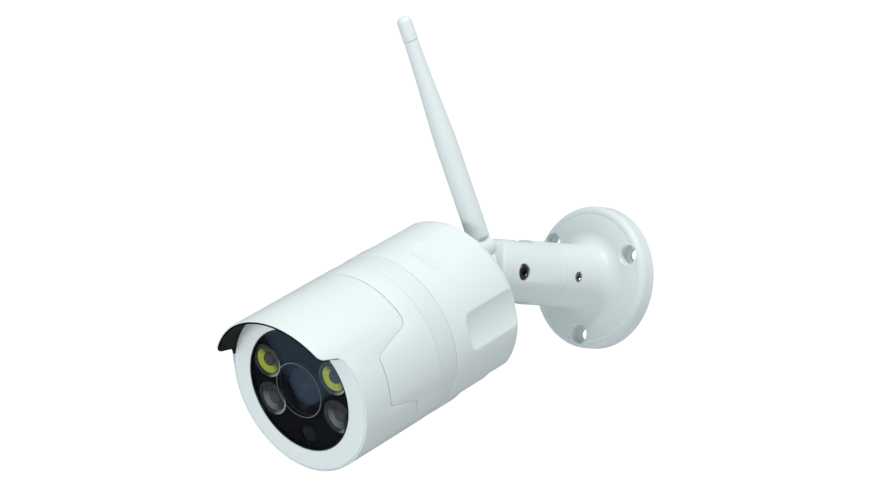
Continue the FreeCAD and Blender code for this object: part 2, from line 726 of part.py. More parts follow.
def aerial_cap():
    """Moulded cap with a rounded top."""
    low = ROD_TOP + 0.1
    return turned([
        (0, low), (CAP_R - 0.3, low), (CAP_R, low + 0.3), (CAP_R - 0.25, CAP_TOP - 2.6),
        (CAP_R - 0.75, CAP_TOP - 1.1), (CAP_R - 1.6, CAP_TOP - 0.25), (0, CAP_TOP),
    ]).rotated(Vector(0, 0, 0), X, -90)


def aerial_radiator():
    """Brass radiator inside the rod."""
    return disc(RADIATOR_R, RADIATOR_LOW, RADIATOR_HIGH).rotated(Vector(0, 0, 0), X, -90)


NODES = [
    (WALL, [wall_base, base_set_screw]),
    (KNUCKLE, [swivel_knuckle, pivot_screw, pivot_nut]),
    (BODY, [
        body_knuckle, neck_seal, stud_washer, stud_nut, rear_housing, mid_band, housing_seals,
        front_sleeve, sun_hood, visor_liner, bezel_ring, front_window, window_seal, lens_ring,
        lens_barrel, lens_front_glass, lens_rear_glass, lens_holder, filter_slide, filter_glasses,
        filter_motor, image_sensor, sensor_board, main_board, board_pillars, board_screws,
        processor_sink, radio_module, aerial_lead, cable_gland, gland_nut, aerial_connector,
        connector_nut, heat_plate,
    ]),
    (TURNED_PLATE, [lamp_mask, lamp_optics, white_chips, infrared_chips, light_sensor, lamp_board]),
    (AERIAL, [aerial_elbow, aerial_pin, aerial_rod, aerial_cap, aerial_radiator]),
]

os.makedirs("parts", exist_ok=True)
for frame, makers in NODES:
    for maker in makers:
        shape = maker()
        shape.Placement = frame.multiply(shape.Placement)
        shape.exportStep("parts/" + maker.__name__ + ".step")
        print(maker.__name__, shape.isValid(), len(shape.Solids), round(shape.Volume, 1))
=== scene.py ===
import json
import math

import bmesh
import bpy
from mathutils import Matrix, Vector


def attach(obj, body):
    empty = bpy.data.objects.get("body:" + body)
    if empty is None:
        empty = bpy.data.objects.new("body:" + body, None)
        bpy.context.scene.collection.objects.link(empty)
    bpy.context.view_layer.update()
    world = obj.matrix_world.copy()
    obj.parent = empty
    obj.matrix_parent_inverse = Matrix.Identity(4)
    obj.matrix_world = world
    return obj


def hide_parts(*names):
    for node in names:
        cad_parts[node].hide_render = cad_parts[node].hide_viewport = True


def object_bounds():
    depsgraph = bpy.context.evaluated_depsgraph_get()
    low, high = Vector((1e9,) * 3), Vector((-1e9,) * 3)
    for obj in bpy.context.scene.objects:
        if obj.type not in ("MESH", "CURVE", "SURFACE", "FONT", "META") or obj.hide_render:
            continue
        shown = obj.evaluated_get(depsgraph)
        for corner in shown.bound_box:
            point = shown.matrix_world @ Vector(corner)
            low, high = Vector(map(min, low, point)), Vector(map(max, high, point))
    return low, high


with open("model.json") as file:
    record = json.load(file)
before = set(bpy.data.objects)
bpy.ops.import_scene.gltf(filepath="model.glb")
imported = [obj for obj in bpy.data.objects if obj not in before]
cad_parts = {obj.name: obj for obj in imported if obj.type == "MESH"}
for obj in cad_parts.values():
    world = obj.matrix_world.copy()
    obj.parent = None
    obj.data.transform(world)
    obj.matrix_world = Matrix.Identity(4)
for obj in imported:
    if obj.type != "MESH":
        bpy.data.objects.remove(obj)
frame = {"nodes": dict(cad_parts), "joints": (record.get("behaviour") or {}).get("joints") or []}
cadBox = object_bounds()
print("frame loaded with", len(frame["nodes"]), "nodes")

# Shapes are made in millimetres in a local frame, then put in place in metres.
# Each local frame has z from the wall towards the lens, x to the right and y up.
millimetre = 0.001
joints = {joint["name"]: joint for joint in frame["joints"]}


def jointAxis(name):
    return Vector(joints[name]["axis"]).normalized()


def jointPlace(name):
    return Vector(joints[name]["pos_m"])


def frameAt(origin, right, forward):
    place = Matrix((right, forward.cross(right), forward)).transposed().to_4x4()
    place.translation = origin
    return place


outOfWall = Vector((0, -1, 0))
plateTurn = math.radians(-8.3)  # the lamp plate sits slightly turned in the shell
wallFrame = frameAt(Vector(), Vector((1, 0, 0)), outOfWall)
knuckleFrame = frameAt(Vector(), jointAxis("tilt"), outOfWall)
bodyFrame = frameAt(jointPlace("tilt"), jointAxis("tilt"), jointAxis("camera_roll"))
plateFrame = bodyFrame @ Matrix.Rotation(plateTurn, 4, "Z")
aerialFrame = frameAt(jointPlace("aerial_fold"), jointAxis("aerial_fold"), jointAxis("camera_roll"))


def reach(node, place):
    # lowest z, highest z and largest radius of a CAD node in a local frame, in millimetres
    back = place.inverted()
    points = [back @ v.co / millimetre for v in frame["nodes"][node].data.vertices]
    heights = [p.z for p in points]
    return min(heights), max(heights), max(math.hypot(p.x, p.y) for p in points)


# ---- shapes

def softCorners(corners, closed=False, turn=12):
    # (a, b) or (a, b, radius) corners; a radius becomes a short arc
    path = []
    count = len(corners)
    for i, corner in enumerate(corners):
        here = Vector(corner[:2])
        radius = corner[2] if len(corner) > 2 else 0
        atEnd = not closed and i in (0, count - 1)
        if not radius or atEnd:
            path.append(tuple(here))
            continue
        before = (Vector(corners[i - 1][:2]) - here).normalized()
        after = (Vector(corners[(i + 1) % count][:2]) - here).normalized()
        half = before.angle(after) / 2
        middle = here + (before + after).normalized() * (radius / math.sin(half))
        first = here + before * (radius / math.tan(half)) - middle
        sweep = math.pi - 2 * half
        if before.cross(after) > 0:
            sweep = -sweep
        steps = max(3, math.ceil(abs(math.degrees(sweep)) / turn))
        for step in range(steps + 1):
            spot = middle + Matrix.Rotation(sweep * step / steps, 2) @ first
            path.append(tuple(spot))
    return path


def joinRings(shape, rings, wrap):
    # quads between neighbouring rings of equal length, or a fan where one is a point
    for a, b in zip(rings, rings[1:]):
        count = max(len(a), len(b))
        for i in range(count if wrap else count - 1):
            j = (i + 1) % count
            corners = [a[i % len(a)], a[j % len(a)], b[j % len(b)], b[i % len(b)]]
            corners = list(dict.fromkeys(corners))
            if len(corners) > 2:
                shape.faces.new(corners)


def turned(outline, steps=160):
    # solid of revolution about z from (radius, z) points
    shape = bmesh.new()
    rings = []
    for r, z in outline:
        if r < 0.0001:
            rings.append([shape.verts.new((0, 0, z))])
            continue
        turns = [2 * math.pi * i / steps for i in range(steps)]
        rings.append([shape.verts.new((r * math.cos(t), r * math.sin(t), z)) for t in turns])
    if outline[0][0] > 0.0001:
        rings.append(rings[0])
    joinRings(shape, rings, True)
    return shape


def band(profile, angles, whole=True):
    # closed cross-sections (radius, z) set round z; angles run from up towards the right
    shape = bmesh.new()
    rings = [
        [shape.verts.new((r * math.sin(t), r * math.cos(t), z)) for r, z in profile(t)]
        for t in angles
    ]
    if whole:
        rings.append(rings[0])
    else:
        shape.faces.new(rings[0])
        shape.faces.new(rings[-1])
    joinRings(shape, rings, True)
    return shape


def slab(outline, low, high):
    # straight prism along z from (x, y) points
    shape = bmesh.new()
    bottom = [shape.verts.new((x, y, low)) for x, y in outline]
    top = [shape.verts.new((x, y, high)) for x, y in outline]
    shape.faces.new(bottom)
    shape.faces.new(top)
    joinRings(shape, [bottom, top], True)
    return shape


def boxOutline(wide, tall):
    return [(i * wide / 2, j * tall / 2) for i, j in ((-1, -1), (1, -1), (1, 1), (-1, 1))]


def hexOutline(flat):
    r = flat / math.sqrt(3)
    return [(r * math.cos(t), r * math.sin(t)) for t in (math.radians(60 * i) for i in range(6))]


def addPiece(name, shape, material):
    bmesh.ops.remove_doubles(shape, verts=shape.verts, dist=0.0005)
    bmesh.ops.recalc_face_normals(shape, faces=shape.faces)
    mesh = bpy.data.meshes.new(name)
    shape.to_mesh(mesh)
    shape.free()
    mesh.materials.append(material)
    piece = bpy.data.objects.new(name, mesh)
    bpy.context.collection.objects.link(piece)
    return piece


def bake(piece):
    # modifiers become plain mesh
    view = bpy.context.evaluated_depsgraph_get()
    view.update()
    mesh = bpy.data.meshes.new_from_object(piece.evaluated_get(view))
    piece.modifiers.clear()
    piece.data = mesh
    return piece


def carve(piece, tools, operation="DIFFERENCE"):
    for tool in tools:
        modifier = piece.modifiers.new("carve", "BOOLEAN")
        modifier.operation = operation
        modifier.solver = "EXACT"
        modifier.object = tool
    bake(piece)
    for tool in tools:
        bpy.data.objects.remove(tool)
    return piece


def cutter(shape, place=None):
    tool = addPiece("cutter", shape, None)
    if place:
        tool.data.transform(place)
    return tool


def softEdges(piece, width, angle=35):
    modifier = piece.modifiers.new("soften", "BEVEL")
    modifier.width = width
    modifier.segments = 2
    modifier.limit_method = "ANGLE"
    modifier.angle_limit = math.radians(angle)
    return bake(piece)


def settle(piece, place, body, nodes=(), sharp=32):
    # into metres and place, smooth-shaded, riding on its body
    mesh = piece.data
    mesh.transform(place @ Matrix.Scale(millimetre, 4))
    mesh.shade_smooth()
    mesh.set_sharp_from_angle(angle=math.radians(sharp))
    mesh.update()
    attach(piece, body)
    if nodes:
        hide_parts(*nodes)


def onCamera(piece, nodes=(), place=bodyFrame, sharp=32):
    settle(piece, place, "camera", nodes, sharp)


def turnedPiece(name, corners, look, steps=160, closed=True, turn=12):
    # a ring when closed, or else a solid whose outline starts and ends on the axis
    return addPiece(name, turned(softCorners(corners, closed, turn), steps), finish[look])


# ---- node trees

class Signal:
    # a socket in a node tree, whose arithmetic adds Math nodes

    def __init__(self, tree, socket):
        self.tree = tree
        self.socket = socket

    def node(self, kind, settings=None, inputs=None, out=0):
        made = self.tree.nodes.new(kind)
        for name, value in (settings or {}).items():
            if name == "stops":
                fillRamp(made.color_ramp, value)
            else:
                setattr(made, name, value)
        for name, value in (inputs or {}).items():
            socket = made.inputs[name]
            if isinstance(value, Signal):
                self.tree.links.new(value.socket, socket)
            else:
                socket.default_value = value
        return Signal(self.tree, made.outputs[out] if made.outputs else None)

    def math(self, operation, *terms):
        return self.node("ShaderNodeMath", {"operation": operation}, dict(enumerate(terms)))

    def __add__(self, other):
        return self.math("ADD", self, other)

    def __sub__(self, other):
        return self.math("SUBTRACT", self, other)

    def __rsub__(self, other):
        return self.math("SUBTRACT", other, self)

    def __mul__(self, other):
        return self.math("MULTIPLY", self, other)

    def __truediv__(self, other):
        return self.math("DIVIDE", self, other)

    __radd__ = __add__
    __rmul__ = __mul__

    def clamp(self):
        return self.math("MINIMUM", self.math("MAXIMUM", self, 0.0), 1.0)


def fillRamp(ramp, stops):
    while len(ramp.elements) > 1:
        ramp.elements.remove(ramp.elements[-1])
    ramp.elements[0].position, ramp.elements[0].color = stops[0]
    for position, color in stops[1:]:
        ramp.elements.new(position).color = color


def newTree(name, sizes):
    # geometry tree with named inputs; returns the tree, its geometry and its inputs
    tree = bpy.data.node_groups.new(name, "GeometryNodeTree")
    tree.interface.new_socket("Geometry", in_out="INPUT", socket_type="NodeSocketGeometry")
    for label, value in sizes.items():
        kind = "NodeSocketInt" if isinstance(value, int) else "NodeSocketFloat"
        socket = tree.interface.new_socket(label, in_out="INPUT", socket_type=kind)
        socket.default_value = value
    tree.interface.new_socket("Finish", in_out="INPUT", socket_type="NodeSocketMaterial")
    tree.interface.new_socket("Geometry", in_out="OUTPUT", socket_type="NodeSocketGeometry")
    start = tree.nodes.new("NodeGroupInput")
    inputs = {socket.name: Signal(tree, socket) for socket in start.outputs if socket.name}
    return tree, inputs


def closeTree(geometry, inputs):
    whole = geometry.node("GeometryNodeRealizeInstances", None, {0: geometry})
    dressed = whole.node("GeometryNodeSetMaterial", None, {"Geometry": whole, "Material": inputs["Finish"]})
    end = dressed.tree.nodes.new("NodeGroupOutput")
    dressed.tree.links.new(dressed.socket, end.inputs[0])


def runTree(piece, tree, values, material):
    modifier = piece.modifiers.new(tree.name, "NODES")
    modifier.node_group = tree
    values = dict(values, Finish=material)
    for item in tree.interface.items_tree:
        if item.in_out == "INPUT" and item.name in values:
            modifier[item.identifier] = values[item.name]
    return bake(piece)


def cornerCopies():
    # the piece at the four corners of a rectangle
    tree, inputs = newTree("cornerCopies", {"Across": 1.0, "Up": 1.0})
    start = inputs["Geometry"]
    grid = start.node("GeometryNodeMeshGrid", None, {
        "Size X": inputs["Across"], "Size Y": inputs["Up"], "Vertices X": 2, "Vertices Y": 2})
    closeTree(start.node("GeometryNodeInstanceOnPoints", None, {"Points": grid, "Instance": start}), inputs)
    return tree


def lineCopies():
    # the piece repeated along a line, a step at a time
    tree, inputs = newTree("lineCopies", {"Count": 2, "Step X": 0.0, "Step Z": 0.0})
    start = inputs["Geometry"]
    step = start.node("ShaderNodeCombineXYZ", None, {"X": inputs["Step X"], "Z": inputs["Step Z"]})
    line = start.node("GeometryNodeMeshLine", None, {"Count": inputs["Count"], "Offset": step})
    closeTree(start.node("GeometryNodeInstanceOnPoints", None, {"Points": line, "Instance": start}), inputs)
    return tree


def ringCopies():
    # the piece, drawn at x = 0, set out round z at a radius
    tree, inputs = newTree("ringCopies", {"Count": 6, "Radius": 1.0})
    start = inputs["Geometry"]
    circle = start.node("GeometryNodeMeshCircle", None, {
        "Vertices": inputs["Count"], "Radius": inputs["Radius"]})
    index = start.node("GeometryNodeInputIndex")
    turn = index * (2 * math.pi) / inputs["Count"]
    angles = start.node("ShaderNodeCombineXYZ", None, {"Z": turn})
    rotation = start.node("FunctionNodeEulerToRotation", None, {0: angles})
    closeTree(start.node("GeometryNodeInstanceOnPoints", None, {
        "Points": circle, "Instance": start, "Rotation": rotation}), inputs)
    return tree


# ---- finishes

def newMaterial(name, **fixed):
    # a principled surface and a way to add nodes to its tree
    material = bpy.data.materials.new(name)
    material.use_nodes = True
    surface = material.node_tree.nodes["Principled BSDF"]
    for label, value in fixed.items():
        surface.inputs[label.replace("_", " ")].default_value = value
    coords = material.node_tree.nodes.new("ShaderNodeTexCoord")
    return material, surface, Signal(material.node_tree, coords.outputs["Object"])


def drive(surface, **signals):
    for label, signal in signals.items():
        signal.tree.links.new(signal.socket, surface.inputs[label.replace("_", " ")])


def grain(place, scale, detail=3.0):
    return place.node("ShaderNodeTexNoise", None, {"Vector": place, "Scale": scale, "Detail": detail})


def tinted(color, factor=1.0, lift=0.0):
    return [c * factor + lift for c in color] + [1]


def blendColor(factor, first, second):
    return factor.node("ShaderNodeMix", {"data_type": "RGBA"}, {0: factor, 6: first, 7: second}, out=2)


def bumpFrom(height, strength, distance):
    return height.node("ShaderNodeBump", None, {
        "Height": height, "Strength": strength, "Distance": distance})


def wornEdges(place, low=0.52, high=0.62):
    # 1 on sharp outer edges, from the mesh's own curvature
    pointed = place.node("ShaderNodeNewGeometry", None, None, out=7)
    return ((pointed - low) / (high - low)).clamp()


def coatedWhite(name, color, roughness, orangePeel, texture):
    # satin white: slow shade drift, orange peel, fine moulded texture, polished edges
    material, surface, place = newMaterial(name, Coat_Roughness=0.25, IOR=1.47)
    drift = grain(place, 14.0, 2.0)
    peel = grain(place, 900.0, 2.0)
    fine = grain(place, 4200.0, 1.0)
    rubbed = wornEdges(place)
    tone = blendColor(drift, tinted(color, 0.965), tinted(color))
    tone = blendColor(rubbed * 0.35, tone, tinted(color, 1.06))
    drive(
        surface,
        Base_Color=tone,
        Roughness=roughness + (drift - 0.5) * 0.10 + (fine - 0.5) * 0.06 - rubbed * 0.07,
        Normal=bumpFrom(peel * orangePeel + fine * texture, 0.35, 0.00012),
    )
    return material


def dullBlack(name, color, roughness, texture=1.0, sheen=0.5):
    # moulded black with a fine spark texture and paler rubbed edges
    material, surface, place = newMaterial(name, Specular_IOR_Level=sheen)
    fine = grain(place, 2600.0, 2.0)
    slow = grain(place, 60.0)
    rubbed = wornEdges(place)
    tone = blendColor(slow, tinted(color, 0.7), tinted(color, 1.3))
    tone = blendColor(rubbed * 0.4, tone, tinted(color, 2.4, 0.01))
    drive(
        surface,
        Base_Color=tone,
        Roughness=(roughness + (slow - 0.5) * 0.16 + (fine - 0.5) * 0.1).clamp(),
        Normal=bumpFrom(fine * texture, 0.4, 0.0001),
    )
    return material


def bareMetal(name, color, roughness, brushed=1.0):
    # machined or plated metal with fine turning marks and a few darker spots
    material, surface, place = newMaterial(name, Metallic=1.0)
    stretched = place.node("ShaderNodeMapping", None, {"Vector": place, "Scale": (400, 400, 9000)})
    marks = grain(stretched, 1.0, 2.0)
    spots = grain(place, 300.0)
    tone = blendColor((spots * 1.6 - 0.4).clamp(), tinted(color, 0.72), tinted(color))
    drive(
        surface,
        Base_Color=tone,
        Roughness=(roughness + (marks - 0.5) * 0.18 + (spots - 0.5) * 0.12).clamp(),
        Normal=bumpFrom(marks * brushed, 0.3, 0.00004),
    )
    return material


def clearLens(name, color, alpha, roughness=0.04, index=1.5):
    # thin-looking clear part: mostly see-through, opaque where its border is printed
    material, surface, place = newMaterial(
        name, Coat_Weight=1.0, Coat_Roughness=0.02, IOR=index, Coat_IOR=index)
    haze = grain(place, 120.0)
    border = place.node("ShaderNodeAttribute", {"attribute_name": "border"}, None, out=2)
    drive(
        surface,
        Alpha=(border + alpha + haze * 0.02).clamp(),
        Base_Color=blendColor(haze, tinted(color, 0.8), tinted(color)),
        Roughness=roughness + (haze - 0.5) * 0.04,
        Normal=bumpFrom(haze, 0.05, 0.0001),
    )
    return material


def glowLens(name, color, roughness):
    # coated optical glass, dark with a slow violet and blue drift
    material, surface, place = newMaterial(name, Coat_Weight=1.0, Coat_Roughness=0.02)
    drift = grain(place, 90.0, 1.0)
    drive(
        surface,
        Base_Color=blendColor(drift, tinted(color), [color[0] * 1.9, color[1] * 1.3, color[2] * 1.7, 1]),
        Roughness=roughness + (drift - 0.5) * 0.02,
    )
    return material


def boardFinish(name, color):
    # solder mask with tracks under it and tinned pads
    material, surface, place = newMaterial(name, Coat_Weight=0.4)
    tracks = place.node("ShaderNodeTexBrick", {"offset": 0.5}, {
        "Vector": place, "Scale": 190.0, "Mortar Size": 0.05, "Color1": (0, 0, 0, 1),
        "Color2": (0.1, 0.1, 0.1, 1), "Mortar": (1, 1, 1, 1)})
    pads = ((grain(place, 700.0, 0.0) - 0.66) * 12.0).clamp()
    tone = blendColor(tracks, tinted(color), tinted(color, 1.9))
    tone = blendColor(pads, tone, (0.75, 0.7, 0.55, 1))
    drive(surface, Base_Color=tone, Metallic=pads, Roughness=0.45 - pads * 0.15,
          Normal=bumpFrom(pads + tracks * 0.4, 0.4, 0.00008))
    return material


def rubberFinish(name):
    material, surface, place = newMaterial(name)
    fine = grain(place, 1800.0)
    dust = grain(place, 220.0)
    drive(surface, Base_Color=blendColor(dust, (0.012, 0.012, 0.013, 1), (0.035, 0.035, 0.036, 1)),
          Roughness=0.8 + (fine - 0.5) * 0.2, Normal=bumpFrom(fine, 0.5, 0.0001))
    return material


def paintedHighlightFinish(name, dark, bright, low, high, roughness):
    # painted light: reflector or chip painted bright on the side it leans to and dark opposite, a painted
    # highlight and painted shade
    material, surface, place = newMaterial(name, Coat_Weight=0.6, Coat_Roughness=0.08)
    side = place.node("ShaderNodeAttribute", {"attribute_name": "lean"}, None, out=2)
    speck = grain(place, 1400.0)
    # how much painted highlight each point gets, from the side it lies on
    highlightAmount = ((side - low) / (high - low) + (speck - 0.5) * 0.15).clamp()
    drive(
        surface,
        Base_Color=blendColor(highlightAmount, tinted(dark), tinted(bright)),
        Roughness=roughness + (speck - 0.5) * 0.1,
        Normal=bumpFrom(speck, 0.2, 0.0001),
    )
    return material


finish = {
    "shell": coatedWhite("shellWhite", (0.765, 0.84, 0.84), 0.36, 0.5, 0.6),
    "band": coatedWhite("bandWhite", (0.73, 0.80, 0.805), 0.40, 0.4, 0.6),
    "bezel": coatedWhite("bezelWhite", (0.76, 0.835, 0.84), 0.42, 0.2, 0.8),
    "bracket": coatedWhite("bracketPowder", (0.76, 0.835, 0.84), 0.42, 1.0, 0.5),
    "aerial": coatedWhite("aerialWhite", (0.755, 0.83, 0.83), 0.46, 0.2, 0.9),
    "liner": dullBlack("linerBlack", (0.0025, 0.0028, 0.003), 0.6, 0.5, 0.12),
    "mask": dullBlack("maskBlack", (0.0035, 0.004, 0.006), 0.7, 0.05, 0.12),
    "lensBlack": dullBlack("lensBlack", (0.006, 0.007, 0.009), 0.35, 0.3),
    "nylon": dullBlack("nylonBlack", (0.015, 0.016, 0.017), 0.5),
    "window": clearLens("windowSmoked", (0.004, 0.005, 0.008), 0.14, 0.02, 2.1),
    "lamp": clearLens("lampClear", (0.55, 0.62, 0.62), 0.08, 0.05),
    "lensGlass": glowLens("lensCoated", (0.022, 0.034, 0.055), 0.06),
    "sensor": glowLens("sensorResin", (0.012, 0.022, 0.022), 0.2),
    # painted light: cup, phosphor and infrared rings are painted bright on one side and dark on the other
    "cup": paintedHighlightFinish("lampCupPaintedGlint", (0.035, 0.042, 0.045), (0.78, 0.82, 0.82), 0.55, 0.98, 0.2),
    "core": glowLens("lampCore", (0.045, 0.055, 0.060), 0.12),
    "phosphor": paintedHighlightFinish("phosphorPaintedShade", (0.06, 0.075, 0.03), (0.74, 0.86, 0.05), -0.45, 0.3, 0.3),
    "infrared": paintedHighlightFinish("infraredPaintedGlint", (0.018, 0.024, 0.026), (0.26, 0.31, 0.32), 0.1, 1.0, 0.2),
    "ringBlack": dullBlack("ringSatin", (0.020, 0.021, 0.023), 0.25, 0.3),
    # painted highlight colour for the pale ring on the window
    "paintedRingHighlight": dullBlack("paintedRingHighlight", (0.17, 0.165, 0.15), 0.5, 0.2),
    "rubber": rubberFinish("rubberSeal"),
    "blackened": bareMetal("blackenedSteel", (0.26, 0.26, 0.27), 0.3),
    "zinc": bareMetal("zincSteel", (0.62, 0.63, 0.66), 0.32),
    "aluminium": bareMetal("millAluminium", (0.78, 0.79, 0.80), 0.36),
    "brass": bareMetal("platedBrass", (0.80, 0.62, 0.30), 0.28),
    "board": boardFinish("boardGreen", (0.012, 0.075, 0.035)),
    "boardBlack": boardFinish("boardBlack", (0.008, 0.009, 0.012)),
}
print("finishes made:", len(finish))

# ---- wall base

baseSizes = {
    "rimRound": 3.0, "footRound": 7.6, "faceRise": 1.9, "faceEdge": 8.3,
    "holeCircle": 26.3, "holeRadius": 2.5, "counterbore": 4.4, "floor": 4.9, "holeMouth": 8.7,
    "reliefInside": 20.0, "reliefOutside": 30.3, "reliefTop": 3.0,
    "holeAngles": (20, 140, 260), "socketRadius": 8.05, "socketFloor": 18.5,
    "grubHeight": 31.0, "grubRadius": 2.4, "grubTurn": -7.0, "grubMouth": 6.2, "grubLength": 5.9,
    "grubKey": 2.2, "ringLine": 29.4, "lineWidth": 0.45, "lineDepth": 0.14,
}


def alongX(length):
    # turns a z-axis shape to lie along x, starting at a length
    return Matrix.Rotation(math.radians(90), 4, "Y") @ Matrix.Translation((0, 0, length))


def inMetres(place):
    # the same placement with its shift in metres
    place = place.copy()
    place.translation *= millimetre
    return place


def makeBase():
    size = baseSizes
    _, stemTop, rim = reach("wall_base", wallFrame)
    stem = reach("swivel_knuckle", knuckleFrame)[2]
    slope = size["faceRise"] / (rim - stem)

    def faceAt(r):
        return size["faceEdge"] + (rim - r) * slope

    line = size["ringLine"]
    lineFace = faceAt(line)
    outline = softCorners([
        (0, 0), (size["reliefInside"], 0, 0.3), (size["reliefInside"], size["reliefTop"], 0.5),
        (size["reliefOutside"], size["reliefTop"], 0.5), (size["reliefOutside"], 0, 0.3),
        (rim, 0, 0.4), (rim, size["faceEdge"], size["rimRound"]),
        (line, lineFace), (line - size["lineWidth"] / 2, lineFace - size["lineDepth"]),
        (line - size["lineWidth"], lineFace),
        (stem, faceAt(stem), size["footRound"]), (stem, stemTop, 0.35),
        (size["socketRadius"], stemTop, 0.3), (size["socketRadius"], size["socketFloor"]),
        (0, size["socketFloor"]),
    ], turn=6)
    base = addPiece("wallBase", turned(outline, 192), finish["bracket"])
    hole, wide, mouth = size["holeRadius"], size["counterbore"], size["holeMouth"]
    past = 2 * mouth
    drill = [
        (0, -1), (hole, -1), (hole, size["floor"]), (wide, size["floor"]), (wide, mouth),
        (wide + 0.5, mouth + 0.6), (wide + 0.5, past), (0, past),
    ]
    tools = []
    for angle in size["holeAngles"]:
        turn = Matrix.Rotation(math.radians(angle), 4, "Z")
        tools.append(cutter(turned(drill, 48), turn @ Matrix.Translation((size["holeCircle"], 0, 0))))
    grub, mouth = size["grubRadius"], size["grubMouth"]
    past = 1.5 * mouth
    thread = [(0, 0), (grub, 0), (grub, mouth), (grub + 0.4, mouth + 0.7), (grub + 0.4, past), (0, past)]
    across = Matrix.Rotation(math.radians(size["grubTurn"]), 4, "Z")
    across = across @ Matrix.Translation((0, 0, size["grubHeight"]))
    tools.append(cutter(turned(thread, 40), across @ alongX(size["socketRadius"])))
    carve(base, tools)
    settle(base, wallFrame, "bracket", ["wall_base"])

    screw = socketScrew("baseSetScrew", grub - 0.08, size["grubLength"], size["grubKey"], 0.35, look="zinc")
    place = wallFrame @ inMetres(across @ alongX(size["socketRadius"] + 0.3))
    settle(screw, place, "bracket", ["base_set_screw"])


def socketScrew(name, radius, height, key, edge, shank=None, look="blackened"):
    # screw head (and shank below it) along z with a hexagon socket in its top
    outline = [(0, 0), (radius, 0, edge * 0.5), (radius, height, edge), (0, height)]
    if shank:
        outline = [(0, -shank[1]), (shank[0], -shank[1], 0.3), (shank[0], 0)] + outline[1:]
    screw = turnedPiece(name, outline, look, 64, closed=False)
    socket = cutter(slab(hexOutline(key), height - radius * 0.75, height + 1))
    low, high = height - 0.3, height + 0.2
    dish = cutter(turned([(0, low), (key * 0.58, low), (key * 0.75, high), (0, high)], 48))
    return carve(screw, [dish, socket])


makeBase()
print("wall base made")

# ---- knuckles

knuckleSizes = {
    "slotHalf": 5.7, "slotRoot": 14.7, "tongueHalf": 5.35, "tongueRadius": 13.9, "seat": 14.95,
    "spigot": 8.0, "spigotFoot": 18.8, "pinRadius": 2.45, "headRadius": 3.2, "headFloor": 9.6,
    "headHeight": 4.5, "headKey": 3.0, "headRoom": 0.6, "nutFlat": 7.0, "nutThick": 3.6, "studRadius": 5.0,
    "earRounding": 1.6, "tongueRounding": 3.0, "edge": 0.45,
}


def roundedEnd(radius, endRadius, foot, rounding, steps=144):
    # barrel along z from foot, whose far end is rounded about x through the origin;
    # foot holds (radius, z) points from the middle out to the barrel's side
    shape = bmesh.new()
    rings = []
    turns = [2 * math.pi * i / steps for i in range(steps)]
    for r, z in foot:
        if r < 0.0001:
            rings.append([shape.verts.new((0, 0, z))])
        else:
            rings.append([shape.verts.new((r * math.cos(t), r * math.sin(t), z)) for t in turns])
    levels = 44
    for level in range(levels):
        polar = math.radians(90) * (1 - level / levels)
        ring = []
        for t in turns:
            way = Vector((math.sin(polar) * math.cos(t), math.sin(polar) * math.sin(t), math.cos(polar)))
            side = radius / math.hypot(way.x, way.y)
            end = endRadius / max(math.hypot(way.y, way.z), 0.001)
            soft = max(rounding * way.x * way.x, 0.001)
            overlap = max(soft - abs(side - end), 0) / soft
            ring.append(shape.verts.new(way * (min(side, end) - overlap * overlap * soft / 4)))
        rings.append(ring)
    rings.append([shape.verts.new((0, 0, endRadius))])
    joinRings(shape, rings, True)
    return shape


def crossCutter(radius, start, end, outline=None):
    # cylinder (or prism) along x from start to end
    shape = slab(outline, start, end) if outline else turned(
        [(0, start), (radius, start), (radius, end), (0, end)], 96)
    return cutter(shape, Matrix.Rotation(math.radians(90), 4, "Y"))


